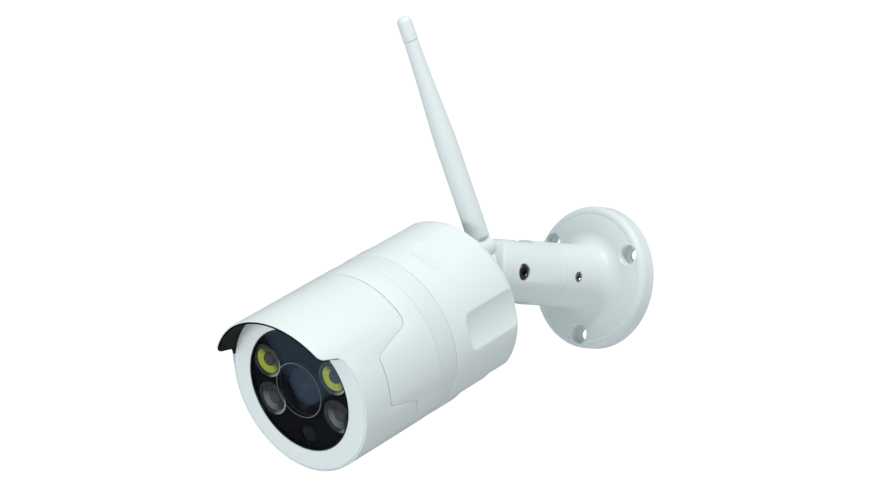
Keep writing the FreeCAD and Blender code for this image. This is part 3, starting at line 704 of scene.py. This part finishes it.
def makeKnuckles():
    size = knuckleSizes
    pivotHeight = -joints["tilt"]["pos_m"][1] / millimetre
    _, seam, _ = reach("wall_base", wallFrame)
    stem = reach("swivel_knuckle", knuckleFrame)[2]
    pivotPlace = knuckleFrame @ Matrix.Translation((0, 0, pivotHeight * millimetre))
    low = seam + 0.1 - pivotHeight
    foot = softCorners([
        (0, size["spigotFoot"] - pivotHeight), (size["spigot"], size["spigotFoot"] - pivotHeight, 0.5),
        (size["spigot"], low), (stem, low, 0.4), (stem, -0.5),
    ])
    fork = addPiece("swivelFork", roundedEnd(stem, stem, foot, size["earRounding"]), finish["bracket"])
    past = 30
    bore = size["pinRadius"] + 0.05
    carve(fork, [
        cutter(slab(boxOutline(2 * size["slotHalf"], 2 * past), -size["slotRoot"], past)),
        crossCutter(bore, -past, past),
        crossCutter(size["headRadius"] + size["headRoom"], size["headFloor"], past),
        crossCutter(0, -past, -size["headFloor"], hexOutline(size["nutFlat"] + 0.2)),
    ])
    softEdges(fork, size["edge"], 40)
    settle(fork, pivotPlace, "swivel", ["swivel_knuckle"])

    shank = (size["pinRadius"], 2 * size["headFloor"] + 3)
    screw = socketScrew("pivotScrew", size["headRadius"], size["headHeight"], size["headKey"], 0.5, shank)
    settle(screw, pivotPlace @ inMetres(alongX(size["headFloor"])), "swivel", ["pivot_screw"])
    thick, pin = size["nutThick"], size["pinRadius"]
    nut = addPiece("pivotNut", slab(hexOutline(size["nutFlat"]), 0, thick), finish["zinc"])
    carve(nut, [cutter(turned([(0, -1), (pin, -1), (pin, thick + 1), (0, thick + 1)], 40))])
    softEdges(nut, 0.25)
    turn = Matrix.Rotation(math.radians(-90), 4, "Y") @ Matrix.Translation((0, 0, size["headFloor"]))
    settle(nut, pivotPlace @ inMetres(turn), "swivel", ["pivot_nut"])

    _, studEnd, neck = reach("body_knuckle", bodyFrame)
    sealLow, sealHigh, sealRadius = reach("neck_seal", bodyFrame)
    stud = size["studRadius"]
    foot = softCorners([
        (0, -studEnd), (stud, -studEnd, 0.6), (stud, -sealLow), (neck, -sealLow, 0.5), (neck, -0.5),
    ])
    shape = roundedEnd(neck, size["tongueRadius"], foot, size["tongueRounding"])
    shape.transform(Matrix.Rotation(math.pi, 4, "X"))
    tongue = addPiece("bodyKnuckle", shape, finish["bracket"])
    half = size["tongueHalf"]
    carve(tongue, [
        crossCutter(size["seat"], half, past), crossCutter(size["seat"], -past, -half),
        crossCutter(bore, -past, past),
    ])
    softEdges(tongue, size["edge"], 40)
    settle(tongue, bodyFrame, "tilt_arm", ["body_knuckle"])
    bore = stud + 0.1
    onCamera(turnedPiece("neckSeal", [
        (bore, sealLow), (sealRadius, sealLow, 0.4), (sealRadius, sealHigh, 0.4), (bore, sealHigh)],
        "rubber"), ["neck_seal"])


makeKnuckles()
print("knuckles made")

# ---- camera shells

shellSizes = {
    "rimRound": 5.0, "edge": 0.28, "plate": 2.95, "wall": 3.7, "boreRadius": 5.05,
    "fluteCount": 6, "fluteDepth": 2.4, "fluteScoop": 28.0, "fluteFront": 65.6, "fluteEnd": 4.0,
    "fluteTurn": -1.2, "panelGap": 0.25, "skin": 36.75, "sleeve": 35.0, "inside": 33.6, "liner": 35.9,
    "linerEnds": (0.7, 2.8), "collarWall": 3.0, "collarLength": 6.0, "skinDepth": 0.8, "steps": 540,
}
# side outlines of the hood as (height above the axis, distance along it) corners
notchCorners = [
    (-40.0, 96.0), (-30.5, 96.0, 8.0), (-16.3, 100.6, 3.5), (-11.0, 118.0, 3.0),
    (11.4, 118.0, 3.2), (17.2, 96.2, 4.5), (23.0, 96.0), (40.0, 96.0),
]
visorCorners = [
    (-40.0, 133.2), (8.6, 133.2, 12.0), (18.0, 135.0, 4.5), (21.1, 145.6, 3.6), (40.0, 148.0),
]


def denser(path, longest):
    # the same path with no step longer than given
    dense = [path[0]]
    for a, b in zip(path, path[1:]):
        steps = max(1, math.ceil(math.dist(a, b) / longest))
        for step in range(1, steps + 1):
            dense.append(tuple(Vector(a).lerp(Vector(b), step / steps)))
    return dense


def outlineAt(path, height):
    for (a, low), (b, high) in zip(path, path[1:]):
        if a <= height <= b:
            return low + (high - low) * (height - a) / max(b - a, 0.000001)
    return path[-1][1]


def edgeTurns(paths, radius, spread=2.0):
    # angles round the shell, close together wherever an edge runs steeply
    turns = [math.radians(spread * i) for i in range(int(180 / spread) + 1)]
    for path in paths:
        turns += [math.acos(height / radius) for height, _ in path if abs(height) < radius]
    turns = sorted(turns)
    kept = [turns[0]]
    for turn in turns[1:]:
        if turn - kept[-1] > math.radians(0.18):
            kept.append(turn)
    kept[-1] = math.pi
    return [-turn for turn in reversed(kept[1:-1])] + kept


def flutedShell():
    # pulls the outer skin in to a hollow scoop wherever a flute runs
    sizes = {"Count": 6, "Skin": 38.0, "Inside": 35.0, "Depth": 2.4, "Scoop": 25.0, "Front": 67.0,
             "End Round": 4.0, "Turn": 0.0}
    tree, inputs = newTree("flutedShell", sizes)
    start = inputs["Geometry"]
    position = start.node("GeometryNodeInputPosition")
    apart = position.node("ShaderNodeSeparateXYZ", None, {0: position})
    x, y, z = (Signal(tree, apart.socket.node.outputs[i]) for i in range(3))
    radius = start.math("SQRT", x * x + y * y)
    step = start.math("DIVIDE", 2 * math.pi, inputs["Count"])
    angle = start.math("ARCTAN2", y, x) - inputs["Turn"]
    folded = angle - step * start.math("ROUND", angle / step)
    # the scoop is a cylinder lying outside the shell, rounded off at its front end
    end = inputs["End Round"]
    along = start.math("MINIMUM", start.math("MAXIMUM", z - inputs["Front"] + end, 0.0), end)
    scoop = inputs["Scoop"] - end + start.math("SQRT", end * end - along * along)
    middle = inputs["Skin"] - inputs["Depth"] + inputs["Scoop"]
    aside = middle * start.math("SINE", folded)
    chord = start.math("SQRT", start.math("MAXIMUM", scoop * scoop - aside * aside, 0.0))
    floor = middle * start.math("COSINE", folded) - chord
    target = start.math("MINIMUM", radius, floor)
    onSkin = start.math("GREATER_THAN", radius, inputs["Inside"])
    factor = (radius + (target - radius) * onSkin) / start.math("MAXIMUM", radius, 0.001)
    moved = start.node("ShaderNodeCombineXYZ", None, {"X": x * factor, "Y": y * factor, "Z": z})
    closeTree(start.node("GeometryNodeSetPosition", None, {"Geometry": start, "Position": moved}), inputs)
    return tree


def makeRearShell():
    size = shellSizes
    low, high, radius = reach("rear_housing", bodyFrame)
    inner, bore, plateTop = radius - size["wall"], size["boreRadius"], low + size["plate"]
    skin = denser(softCorners([
        (inner, low), (radius, low, size["rimRound"]), (radius, high, size["edge"]), (inner, high)]), 0.6)
    outline = [(bore, low)] + skin + [(inner, plateTop), (bore, plateTop)]
    piece = addPiece("rearShell", turned(outline, size["steps"]), finish["shell"])
    runTree(piece, flutedShell(), {
        "Count": size["fluteCount"], "Skin": radius, "Inside": inner + size["skinDepth"],
        "Depth": size["fluteDepth"], "Scoop": size["fluteScoop"], "Front": size["fluteFront"],
        "End Round": size["fluteEnd"], "Turn": math.radians(size["fluteTurn"]),
    }, finish["shell"])
    onCamera(piece, ["rear_housing"], sharp=50)


def makeFrontShells():
    size = shellSizes
    edge = size["edge"]
    bandLow = reach("rear_housing", bodyFrame)[1] + 0.05
    bandHigh = reach("front_sleeve", bodyFrame)[0] - 0.05
    bandRadius = reach("mid_band", bodyFrame)[2]
    collar = size["inside"] - 0.2
    inside = collar - size["collarWall"]
    low, high = bandLow - size["collarLength"], bandHigh + size["collarLength"]
    onCamera(turnedPiece("midBand", [
        (inside, low), (collar, low, 0.3), (collar, bandLow), (bandRadius, bandLow, edge),
        (bandRadius, bandHigh, edge), (collar, bandHigh), (collar, high, 0.3), (inside, high)],
        "band", 240), ["mid_band"])

    sleeveLow, sleeveHigh, radius = reach("front_sleeve", bodyFrame)
    notch = denser(softCorners(notchCorners, turn=8), 0.5)
    visor = denser(softCorners(visorCorners, turn=8), 0.5)

    def sleeveProfile(turn):
        step = outlineAt(notch, radius * math.cos(turn)) - size["panelGap"]
        return softCorners([
            (size["inside"], sleeveLow), (radius, sleeveLow, edge), (radius, step, edge),
            (size["sleeve"], step), (size["sleeve"], sleeveHigh), (size["inside"], sleeveHigh)], True)

    sleeve = band(sleeveProfile, edgeTurns([notch], radius))
    onCamera(addPiece("frontSleeve", sleeve, finish["shell"]), ["front_sleeve"])

    def hoodProfile(turn):
        height = radius * math.cos(turn)
        rear, front = outlineAt(notch, height) + 0.05, outlineAt(visor, height)
        return softCorners([
            (size["sleeve"] + 0.1, rear), (radius, rear, edge), (radius, front, edge),
            (size["skin"], front), (size["skin"], sleeveHigh), (size["sleeve"] + 0.1, sleeveHigh)], True)

    hood = band(hoodProfile, edgeTurns([notch, visor], radius))
    onCamera(addPiece("sunHood", hood, finish["shell"]), ["sun_hood"])

    face = reach("bezel_ring", bodyFrame)[1]
    leftEnd, rightEnd = size["linerEnds"]
    turns = [t for t in edgeTurns([visor], radius)
             if outlineAt(visor, radius * math.cos(t)) > face + (rightEnd if t > 0 else leftEnd)]

    def linerProfile(turn):
        front = outlineAt(visor, radius * math.cos(turn)) + 0.12
        return softCorners([
            (size["liner"], face + 0.12), (size["skin"] - 0.03, face + 0.12),
            (size["skin"] - 0.03, front, 0.1), (size["liner"], front, 0.3)], True)

    liner = band(linerProfile, turns, whole=False)
    onCamera(addPiece("visorLiner", liner, finish["liner"]), ["visor_liner"])


makeRearShell()
makeFrontShells()
print("shells made")

# ---- window, lamps and lens

frontSizes = {
    "windowRadius": 27.7, "flangeRadius": 31.1, "bezelRound": 1.1, "lampAcross": 37.2, "lampUp": 17.6,
    "lampRadius": 7.6, "sensorDown": -21.2, "sensorRadius": 3.9, "ringWall": 1.0, "borderWidth": 0.5,
    "lineRadius": 12.2, "lineWidth": 0.3, "lineRise": 0.04,
    "barrelMouth": 9.5, "barrelBore": 4.5, "frontBore": 5.2, "stemRadius": 6.0, "stemEnd": 119.5,
    "coneEnd": 121.5, "boreStep": 121.4, "mouthFloor": 125.5, "mouthGrooves": 3, "groovePitch": 0.35,
    "glassRadius": 9.35, "glassCurve": 18.0, "glassSteps": 24,
}


def makeBezel():
    size = frontSizes
    opening, flange = size["windowRadius"], size["flangeRadius"]
    low, high, radius = reach("bezel_ring", bodyFrame)
    glassLow, glassHigh, _ = reach("front_window", bodyFrame)
    sealLow, sealHigh, _ = reach("window_seal", bodyFrame)
    onCamera(turnedPiece("bezelRing", [
        (flange + 0.1, low), (radius, low), (radius, high, size["bezelRound"]),
        (opening, high, 0.35), (opening, sealHigh), (flange + 0.1, sealHigh)],
        "bezel", 240), ["bezel_ring"])
    clear = opening - 0.1
    border = clear - size["borderWidth"]
    window = turnedPiece("frontWindow", [
        (0, glassLow), (border - 0.2, glassLow), (border, glassLow), (flange, glassLow), (flange, sealLow),
        (clear, sealLow), (clear, glassHigh, 0.2), (border, glassHigh), (border - 0.2, glassHigh),
        (0, glassHigh)], "window", 200, closed=False)
    printed = window.data.attributes.new("border", "FLOAT", "POINT")
    for point in window.data.vertices:
        printed.data[point.index].value = float(point.co.xy.length > border - 0.1)
    onCamera(window, ["front_window"])
    # painted highlight: a pale thin ring on the window face, standing in for the light on the lens ring's
    # edge
    line, top = size["lineRadius"], glassHigh + size["lineRise"]
    outer = line + size["lineWidth"]
    onCamera(turnedPiece("windowPaintedHighlight", [
        (line, glassHigh), (outer, glassHigh), (outer, top, 0.015), (line, top, 0.015)], "paintedRingHighlight"))
    inner = opening + 0.2
    onCamera(turnedPiece("windowSeal", [
        (inner, sealLow), (flange, sealLow), (flange, sealHigh), (inner, sealHigh)], "rubber"),
        ["window_seal"])


def lean(piece, towards):
    # how far each point lies towards a direction across z, from -1 to 1; it sets which side gets the painted
    # highlight
    way = Vector(towards).normalized()
    values = piece.data.attributes.new("lean", "FLOAT", "POINT")
    for point in piece.data.vertices:
        values.data[point.index].value = point.co.xy.normalized().dot(way)


def makeLamps():
    size = frontSizes
    low, high, radius = reach("lamp_mask", bodyFrame)
    lampLow = reach("lamp_optics", bodyFrame)[0]
    halfX, halfY = size["lampAcross"] / 2, size["lampUp"] / 2
    hole = reach("lens_ring", bodyFrame)[2] + 0.1
    r, sensor = size["lampRadius"], size["sensorRadius"]
    corners = {"Across": size["lampAcross"], "Up": size["lampUp"]}
    plate = turnedPiece("lampMask", [
        (hole, low), (radius, low), (radius, high), (hole + 0.3, high), (hole, high - 0.3)], "mask")

    def wellCutter(well, x, y):
        outline = [(0, low - 1), (well, low - 1), (well, high - 0.3), (well + 0.35, high + 0.05),
                   (well + 0.35, high + 1), (0, high + 1)]
        return cutter(turned(outline, 64), Matrix.Translation((x, y, 0)))

    def fourTimes(piece, look, nodes=()):
        runTree(piece, cornerCopies(), corners, finish[look])
        onCamera(piece, nodes, plateFrame)

    wells = [wellCutter(r + 0.1, i * halfX, j * halfY) for i in (-1, 1) for j in (-1, 1)]
    carve(plate, wells + [wellCutter(sensor + 0.3, 0, size["sensorDown"])])
    onCamera(plate, ["lamp_mask"], plateFrame)

    # clear lens: flange, shallow groove, shoulder and a raised middle
    top = high - 0.05
    lens = turnedPiece("lampLenses", [
        (0, lampLow), (2.6, lampLow), (r - 1.2, low - 0.6), (r, low), (r, top, 0.3), (r - 1.1, top, 0.2),
        (r - 1.5, top - 0.6, 0.2), (r - 2.2, top - 0.5, 0.3), (4.2, top - 0.15, 1.0), (3.2, top - 0.8, 0.4),
        (2.2, top - 0.35, 1.2), (0, top - 0.1)], "lamp", 72, closed=False)
    fourTimes(lens, "lamp", ["lamp_optics"])
    rim = turnedPiece("lampRims", [
        (r - 1.5, low - 1.4), (r - 0.9, low - 1.4), (r - 0.15, low - 0.2), (r - 0.15, top - 0.35),
        (r - 0.75, top - 0.35)], "cup", 72)
    # painted highlight: each cup rim is painted bright towards the lower right
    lean(rim, (0.8, -0.6))
    fourTimes(rim, "cup")
    core = turnedPiece("lampCores", [
        (0, lampLow - 0.2), (2.0, lampLow - 0.2), (3.1, top - 1.6, 0.4), (2.4, top - 0.9, 1.0),
        (0, top - 0.7)], "core", 64, closed=False)
    fourTimes(core, "core")

    # upper pair white, with a yellow ring round the chip; lower pair infrared; both rings carry painted
    # shade, bright towards the lower left and dark opposite
    for name, sign, look, node, slotName in (
        ("whiteEmitters", 1, "phosphor", "white_chips", "phosphor"),
        ("infraredEmitters", -1, "infrared", "infrared_chips", "chip_clear"),
    ):
        ring = turnedPiece(name, [
            (2.2, top - 3.6), (3.0, top - 3.8), (r - 1.75, top - 1.3), (r - 1.75, top - 0.8, 0.2),
            (r - 2.3, top - 0.75, 0.5), (3.2, top - 1.9, 0.6), (2.2, top - 3.0)], look, 72)
        # painted highlight towards the lower left, painted shade opposite
        lean(ring, (-0.7, -0.7))
        ring.data.transform(Matrix.Translation((-halfX, sign * halfY, 0)))
        runTree(ring, lineCopies(), {"Count": 2, "Step X": size["lampAcross"]}, finish[look])
        onCamera(ring, [node], plateFrame)

    low, high, _ = reach("light_sensor", plateFrame)
    dome = turnedPiece("lightSensor", [
        (0, low), (sensor, low, 0.2), (sensor, high - 0.5, 0.6), (1.8, high, 2.0), (0, high)],
        "sensor", 64, closed=False)
    dome.data.transform(Matrix.Translation((0, size["sensorDown"], 0)))
    onCamera(dome, ["light_sensor"], plateFrame)


def makeLens():
    size = frontSizes
    low, high, radius = reach("lens_ring", bodyFrame)
    inner = radius - size["ringWall"]
    top = high - 0.02
    onCamera(turnedPiece("lensRing", [
        (inner, low), (radius, low), (radius, top, 0.2), (inner, top, 0.3)], "ringBlack"),
        ["lens_ring"])
    low, high, barrel = reach("lens_barrel", bodyFrame)
    mouth, bore, front, stem = (size[key] for key in ("barrelMouth", "barrelBore", "frontBore", "stemRadius"))
    floor, step = size["mouthFloor"], size["boreStep"]
    onCamera(turnedPiece("lensBarrel", [
        (bore, low), (stem, low), (stem, size["stemEnd"]), (barrel, size["coneEnd"], 0.3),
        (barrel, high - 0.3, 0.3), (barrel - 0.5, high, 0.2), (barrel - 1.0, high, 0.2),
        (mouth + 0.1, high - 0.9, 0.2), (mouth, floor), (front, floor), (front, step), (bore, step)],
        "lensBlack"), ["lens_barrel"])
    groove = turnedPiece("lensMouthRings", [
        (mouth - 0.12, high - 1.9), (mouth + 0.15, high - 1.9), (mouth + 0.15, high - 1.75),
        (mouth - 0.12, high - 1.75)], "lensBlack", 128)
    repeat = {"Count": size["mouthGrooves"], "Step Z": size["groovePitch"]}
    runTree(groove, lineCopies(), repeat, finish["lensBlack"])
    onCamera(groove)
    low, high, _ = reach("lens_front_glass", bodyFrame)
    wide, curve, steps = size["glassRadius"], size["glassCurve"], size["glassSteps"]
    radii = [wide * i / steps for i in range(steps + 1)]
    dome = [(r, high - curve + math.sqrt(curve ** 2 - r ** 2)) for r in radii]
    glass = addPiece("lensFrontGlass", turned(dome + [(wide, low), (0, low)], 128), finish["lensGlass"])
    onCamera(glass, ["lens_front_glass"])


makeBezel()
makeLamps()
makeLens()
print("window, lamps and lens made")

# ---- aerial

aerialSizes = {
    "rod": 4.95, "rodFoot": 5.2, "taperFrom": 50.0, "waistAt": 80.0, "waist": 3.6, "tip": 3.1, "cap": 3.32,
    "gapAtCap": 0.12, "footRound": 0.7, "webTall": 8.4,
    "elbow": 4.9, "elbowRounding": 2.6, "cheekGap": 2.85, "gapEnd": 4.95, "collarBore": 3.15,
    "collarFloor": 4.7, "knurls": 30, "knurlLength": 2.9, "knurlEnd": 0.7, "pin": 1.0,
}
rearSizes = {
    "thread": 3.0, "threadBehind": 7.0, "threadInside": 9.0, "nutFlat": 8.0, "threads": 12, "pitch": 0.36,
    "glandDown": -22.0, "glandBore": 2.6, "glandCap": 5.2, "glandNeck": 4.4, "glandFlat": 10.6,
    "flangeThick": 2.4, "grips": 18,
}
alongRod = Matrix.Rotation(math.radians(-90), 4, "X")  # z-axis shapes to run up the rod


def makeAerial():
    size = aerialSizes
    outer, pinRadius, gap = size["elbow"], size["pin"], size["cheekGap"]
    collarTop = reach("aerial_elbow", aerialFrame)[1]
    foot = softCorners([(0, -collarTop), (outer, -collarTop, 0.5), (outer, -0.2)])
    shape = roundedEnd(outer, outer, foot, size["elbowRounding"], 96)
    shape.transform(Matrix.Rotation(math.pi, 4, "X"))
    elbow = addPiece("aerialElbow", shape, finish["aerial"])
    bore, floor, past = size["collarBore"], size["collarFloor"], 20
    carve(elbow, [
        cutter(slab(boxOutline(2 * gap, 2 * past), -past, size["gapEnd"])),
        cutter(turned([(0, floor), (bore, floor), (bore, past), (0, past)], 48)),
    ])
    softEdges(elbow, 0.3, 40)
    settle(elbow, aerialFrame, "aerial_turn", ["aerial_elbow"])
    knurlTop = collarTop - size["knurlEnd"]
    ridge = slab([(-0.25, -0.22), (0.16, 0), (-0.25, 0.22)], knurlTop - size["knurlLength"], knurlTop)
    knurl = addPiece("aerialKnurl", ridge, finish["aerial"])
    runTree(knurl, ringCopies(), {"Count": size["knurls"], "Radius": outer}, finish["aerial"])
    settle(knurl, aerialFrame, "aerial_turn")
    half = outer - 0.15
    pin = turnedPiece("aerialPin", [
        (0, -half), (pinRadius, -half, 0.2), (pinRadius, half, 0.2), (0, half)], "zinc", 40, closed=False)
    place = aerialFrame @ Matrix.Rotation(math.radians(90), 4, "Y")
    settle(pin, place, "aerial_turn", ["aerial_pin"])

    capLow, capTop, _ = reach("aerial_cap", aerialFrame @ alongRod)
    rodTop = capLow - size["gapAtCap"]
    rod = turnedPiece("aerialRod", [
        (0, size["rodFoot"]), (size["rod"], size["rodFoot"], size["footRound"]),
        (size["rod"], size["taperFrom"], 150.0), (size["waist"], size["waistAt"], 250.0),
        (size["tip"], rodTop, 0.25), (0, rodTop)], "aerial", 96, closed=False, turn=2)
    rod.data.transform(alongRod)
    half = gap - 0.2
    web = cutter(slab(boxOutline(2 * half, size["webTall"]), 0, size["rodFoot"] + 0.6), alongRod)
    carve(rod, [crossCutter(outer - 0.35, -half, half), web], "UNION")
    carve(rod, [crossCutter(pinRadius + 0.05, -outer, outer)])
    settle(rod, aerialFrame, "aerial_arm", ["aerial_rod"])
    top = turnedPiece("aerialCap", [
        (0, capLow), (size["cap"], capLow, 0.3), (size["cap"] - 0.12, capTop, 2.9), (0, capTop)],
        "aerial", 96, closed=False, turn=8)
    top.data.transform(alongRod)
    settle(top, aerialFrame, "aerial_arm", ["aerial_cap"])


def makeRearFittings():
    # connector, gland and their threads on the rear plate
    size = rearSizes
    x, y = (bodyFrame.inverted() @ jointPlace("aerial_turn")).xy / millimetre
    spot = Matrix.Translation((x, y, 0))
    rear = reach("rear_housing", bodyFrame)[0]
    thread, low, high = size["thread"], rear - size["threadBehind"], rear + size["threadInside"]
    connector = turnedPiece("aerialConnector", [
        (0, low), (thread, low, 0.3), (thread, high), (0, high)], "brass", 64, closed=False)
    carve(connector, [cutter(slab(hexOutline(size["nutFlat"]), rear - 2, rear + 0.01))], "UNION")
    softEdges(connector, 0.2, 40)
    connector.data.transform(spot)
    onCamera(connector, ["aerial_connector"])
    ridge = turnedPiece("connectorThread", [
        (thread - 0.15, rear - 2.5), (thread + 0.08, rear - 2.36), (thread - 0.15, rear - 2.22)], "brass", 64)
    ridge.data.transform(spot)
    runTree(ridge, lineCopies(), {"Count": size["threads"], "Step Z": -size["pitch"]}, finish["brass"])
    onCamera(ridge)

    low, high, _ = reach("cable_gland", bodyFrame)
    bore, cap, neck = size["glandBore"], size["glandCap"], size["glandNeck"]
    flangeLow = rear - size["flangeThick"]
    gland = turnedPiece("cableGland", [
        (bore, low), (cap - 0.9, low, 0.8), (cap, low + 1.6, 1.2), (cap, flangeLow - 0.2, 0.3),
        (cap - 0.3, flangeLow), (cap - 0.3, rear), (neck, rear), (neck, high), (bore, high)], "nylon", 72)
    grip = addPiece("glandGrip", slab(
        [(-0.3, -0.45), (0.28, 0), (-0.3, 0.45)], low + 1.9, flangeLow - 0.6), finish["nylon"])
    runTree(grip, ringCopies(), {"Count": size["grips"], "Radius": cap - 0.05}, finish["nylon"])
    flange = addPiece("glandFlange", slab(hexOutline(size["glandFlat"]), flangeLow, rear), finish["nylon"])
    softEdges(flange, 0.3)
    for piece, nodes in ((gland, ["cable_gland"]), (grip, ()), (flange, ())):
        piece.data.transform(Matrix.Translation((0, size["glandDown"], 0)))
        onCamera(piece, nodes)


makeAerial()
makeRearFittings()
print("aerial and rear fittings made")

# ---- inner pieces keep their CAD shape

innerFinish = {
    "zinc": ("stud_washer", "stud_nut", "board_screws"),
    "rubber": ("housing_seals",),
    "lensGlass": ("lens_rear_glass", "filter_glasses"),
    "nylon": ("lens_holder", "filter_slide", "gland_nut", "aerial_lead"),
    "sensor": ("image_sensor", "filter_motor"),
    "board": ("sensor_board", "main_board"),
    "boardBlack": ("lamp_board",),
    "aluminium": ("heat_plate", "processor_sink", "radio_module"),
    "brass": ("board_pillars", "connector_nut", "aerial_radiator"),
}
for key, names in innerFinish.items():
    for name in names:
        for spot in frame["nodes"][name].material_slots:
            spot.link = "OBJECT"
            spot.material = finish[key]

# ---- floor, light and camera

stageSizes = {
    "floorDrop": 0.42, "floorSize": 9.0, "aim": (-0.0500, -0.0566, 0.0148), "azimuth": 42.586,
    "elevation": -4.431, "distance": 1.53, "lens": 138.6,
    "skyLight": 0.65, "floorLight": 0.155, "skyRise": 0.6, "skySide": 0.52, "shinyDim": 0.75,
    "whiteOut": 1.06, "keyPower": 8.6, "keyFrom": (62, 52), "keyAway": 1.3, "keySize": 0.25,
    "frontPower": 3.2, "frontFrom": (3, -9), "frontAway": 1.1, "frontSize": 0.25,
    "glowPower": 0.022, "glowColor": (0.4, 0.68, 1.0), "glowAway": 0.5, "glowWide": 0.3,
    "glowEdge": ((-12.4, 24.9), (-0.4, -8.7)),
}


def fromAngles(azimuth, elevation):
    a, e = math.radians(azimuth), math.radians(elevation)
    return Vector((math.sin(a) * math.cos(e), -math.cos(a) * math.cos(e), math.sin(e)))


def makeFloor():
    low = cadBox[0]
    half = stageSizes["floorSize"] / 2
    corners = [(-half, -half), (half, -half), (half, half), (-half, half)]
    shape = bmesh.new()
    shape.faces.new([shape.verts.new((x, y, low.z - stageSizes["floorDrop"])) for x, y in corners])
    material, surface, place = newMaterial("paleFloor", Roughness=0.9)
    drive(surface, Base_Color=blendColor(grain(place, 3.0), (0.86, 0.87, 0.88, 1), (0.9, 0.905, 0.91, 1)))
    floor = addPiece("studioFloor", shape, material)
    floor.visible_glossy = False


def areaLight(name, place, target, size, power, color=(1, 1, 1)):
    lamp = bpy.data.lights.new(name, "AREA")
    lamp.shape = "RECTANGLE"
    lamp.size, lamp.size_y = size
    lamp.energy = power
    lamp.color = color
    holder = bpy.data.objects.new(name, lamp)
    holder.location = place
    holder.rotation_mode = "QUATERNION"
    holder.rotation_quaternion = (Vector(target) - Vector(place)).to_track_quat("-Z", "Y")
    bpy.context.collection.objects.link(holder)
    return holder


def makeWindowGlow():
    # soft box whose straight edge shows in the window from one point to another
    size = stageSizes
    wide = size["glowWide"]
    eye = Vector(size["aim"]) + fromAngles(size["azimuth"], size["elevation"]) * size["distance"]
    face = reach("front_window", bodyFrame)[1]
    normal = (bodyFrame.to_3x3() @ Vector((0, 0, 1))).normalized()
    ends = []
    for x, y in size["glowEdge"]:
        point = bodyFrame @ (Vector((x, y, face)) * millimetre)
        ends.append(point + (point - eye).normalized().reflect(normal) * size["glowAway"])
    along = (ends[1] - ends[0]).normalized()
    outward = ((ends[0] + ends[1]) / 2 - bodyFrame @ Vector((0, 0, face * millimetre))).normalized()
    across = outward.cross(along).normalized()
    outward = along.cross(across)
    middle = (ends[0] + ends[1]) / 2 + across * wide / 2
    tall = (ends[1] - ends[0]).length
    card = areaLight(
        "windowGlow", middle, middle - outward, (wide, tall), size["glowPower"], size["glowColor"])
    card.rotation_quaternion = Matrix((across, -along, outward)).transposed().to_quaternion()


def makeLights():
    size = stageSizes
    aim = Vector(size["aim"])
    for name in ("key", "front"):
        place = aim + fromAngles(*size[name + "From"]) * size[name + "Away"]
        lamp = areaLight(name, place, aim, (size[name + "Size"],) * 2, size[name + "Power"])
    lamp.visible_glossy = False  # the front light stays out of the lens and window
    makeWindowGlow()


def makeWorld():
    # plain white to the camera, and a soft sky, brighter above and to the right, to the object
    size = stageSizes
    world = bpy.data.worlds.new("studio")
    bpy.context.scene.world = world
    world.use_nodes = True
    tree = world.node_tree
    rays = tree.nodes.new("ShaderNodeLightPath")
    seen = Signal(tree, rays.outputs["Is Camera Ray"])
    shiny = Signal(tree, rays.outputs["Is Glossy Ray"])
    way = Signal(tree, tree.nodes.new("ShaderNodeTexCoord").outputs["Generated"])
    right = way.node("ShaderNodeSeparateXYZ", None, {0: way})
    up = way.node("ShaderNodeSeparateXYZ", None, {0: way}, out=2)
    sky = (up * size["skyRise"] + right * size["skySide"] + 0.5).clamp()
    around = sky * (size["skyLight"] - size["floorLight"]) + size["floorLight"]
    around = around * (1.0 - shiny * size["shinyDim"])
    strength = seen * size["whiteOut"] + (1.0 - seen) * around
    tint = blendColor(sky, (0.80, 0.93, 0.97, 1), (0.97, 0.99, 1.0, 1))
    tint = blendColor(seen, tint, (1, 1, 1, 1))
    back = tree.nodes["Background"]
    tree.links.new(tint.socket, back.inputs["Color"])
    tree.links.new(strength.socket, back.inputs["Strength"])


def makeCamera():
    size = stageSizes
    view = bpy.data.cameras.new("view")
    view.lens = size["lens"]
    view.clip_start, view.clip_end = 0.05, 30
    holder = bpy.data.objects.new("view", view)
    back = fromAngles(size["azimuth"], size["elevation"])
    holder.location = Vector(size["aim"]) + back * size["distance"]
    holder.rotation_mode = "QUATERNION"
    holder.rotation_quaternion = (-back).to_track_quat("-Z", "Y")
    bpy.context.collection.objects.link(holder)
    bpy.context.scene.camera = holder


makeFloor()
makeLights()
makeWorld()
makeCamera()
bpy.context.scene.view_settings.view_transform = "Standard"
print("stage set")
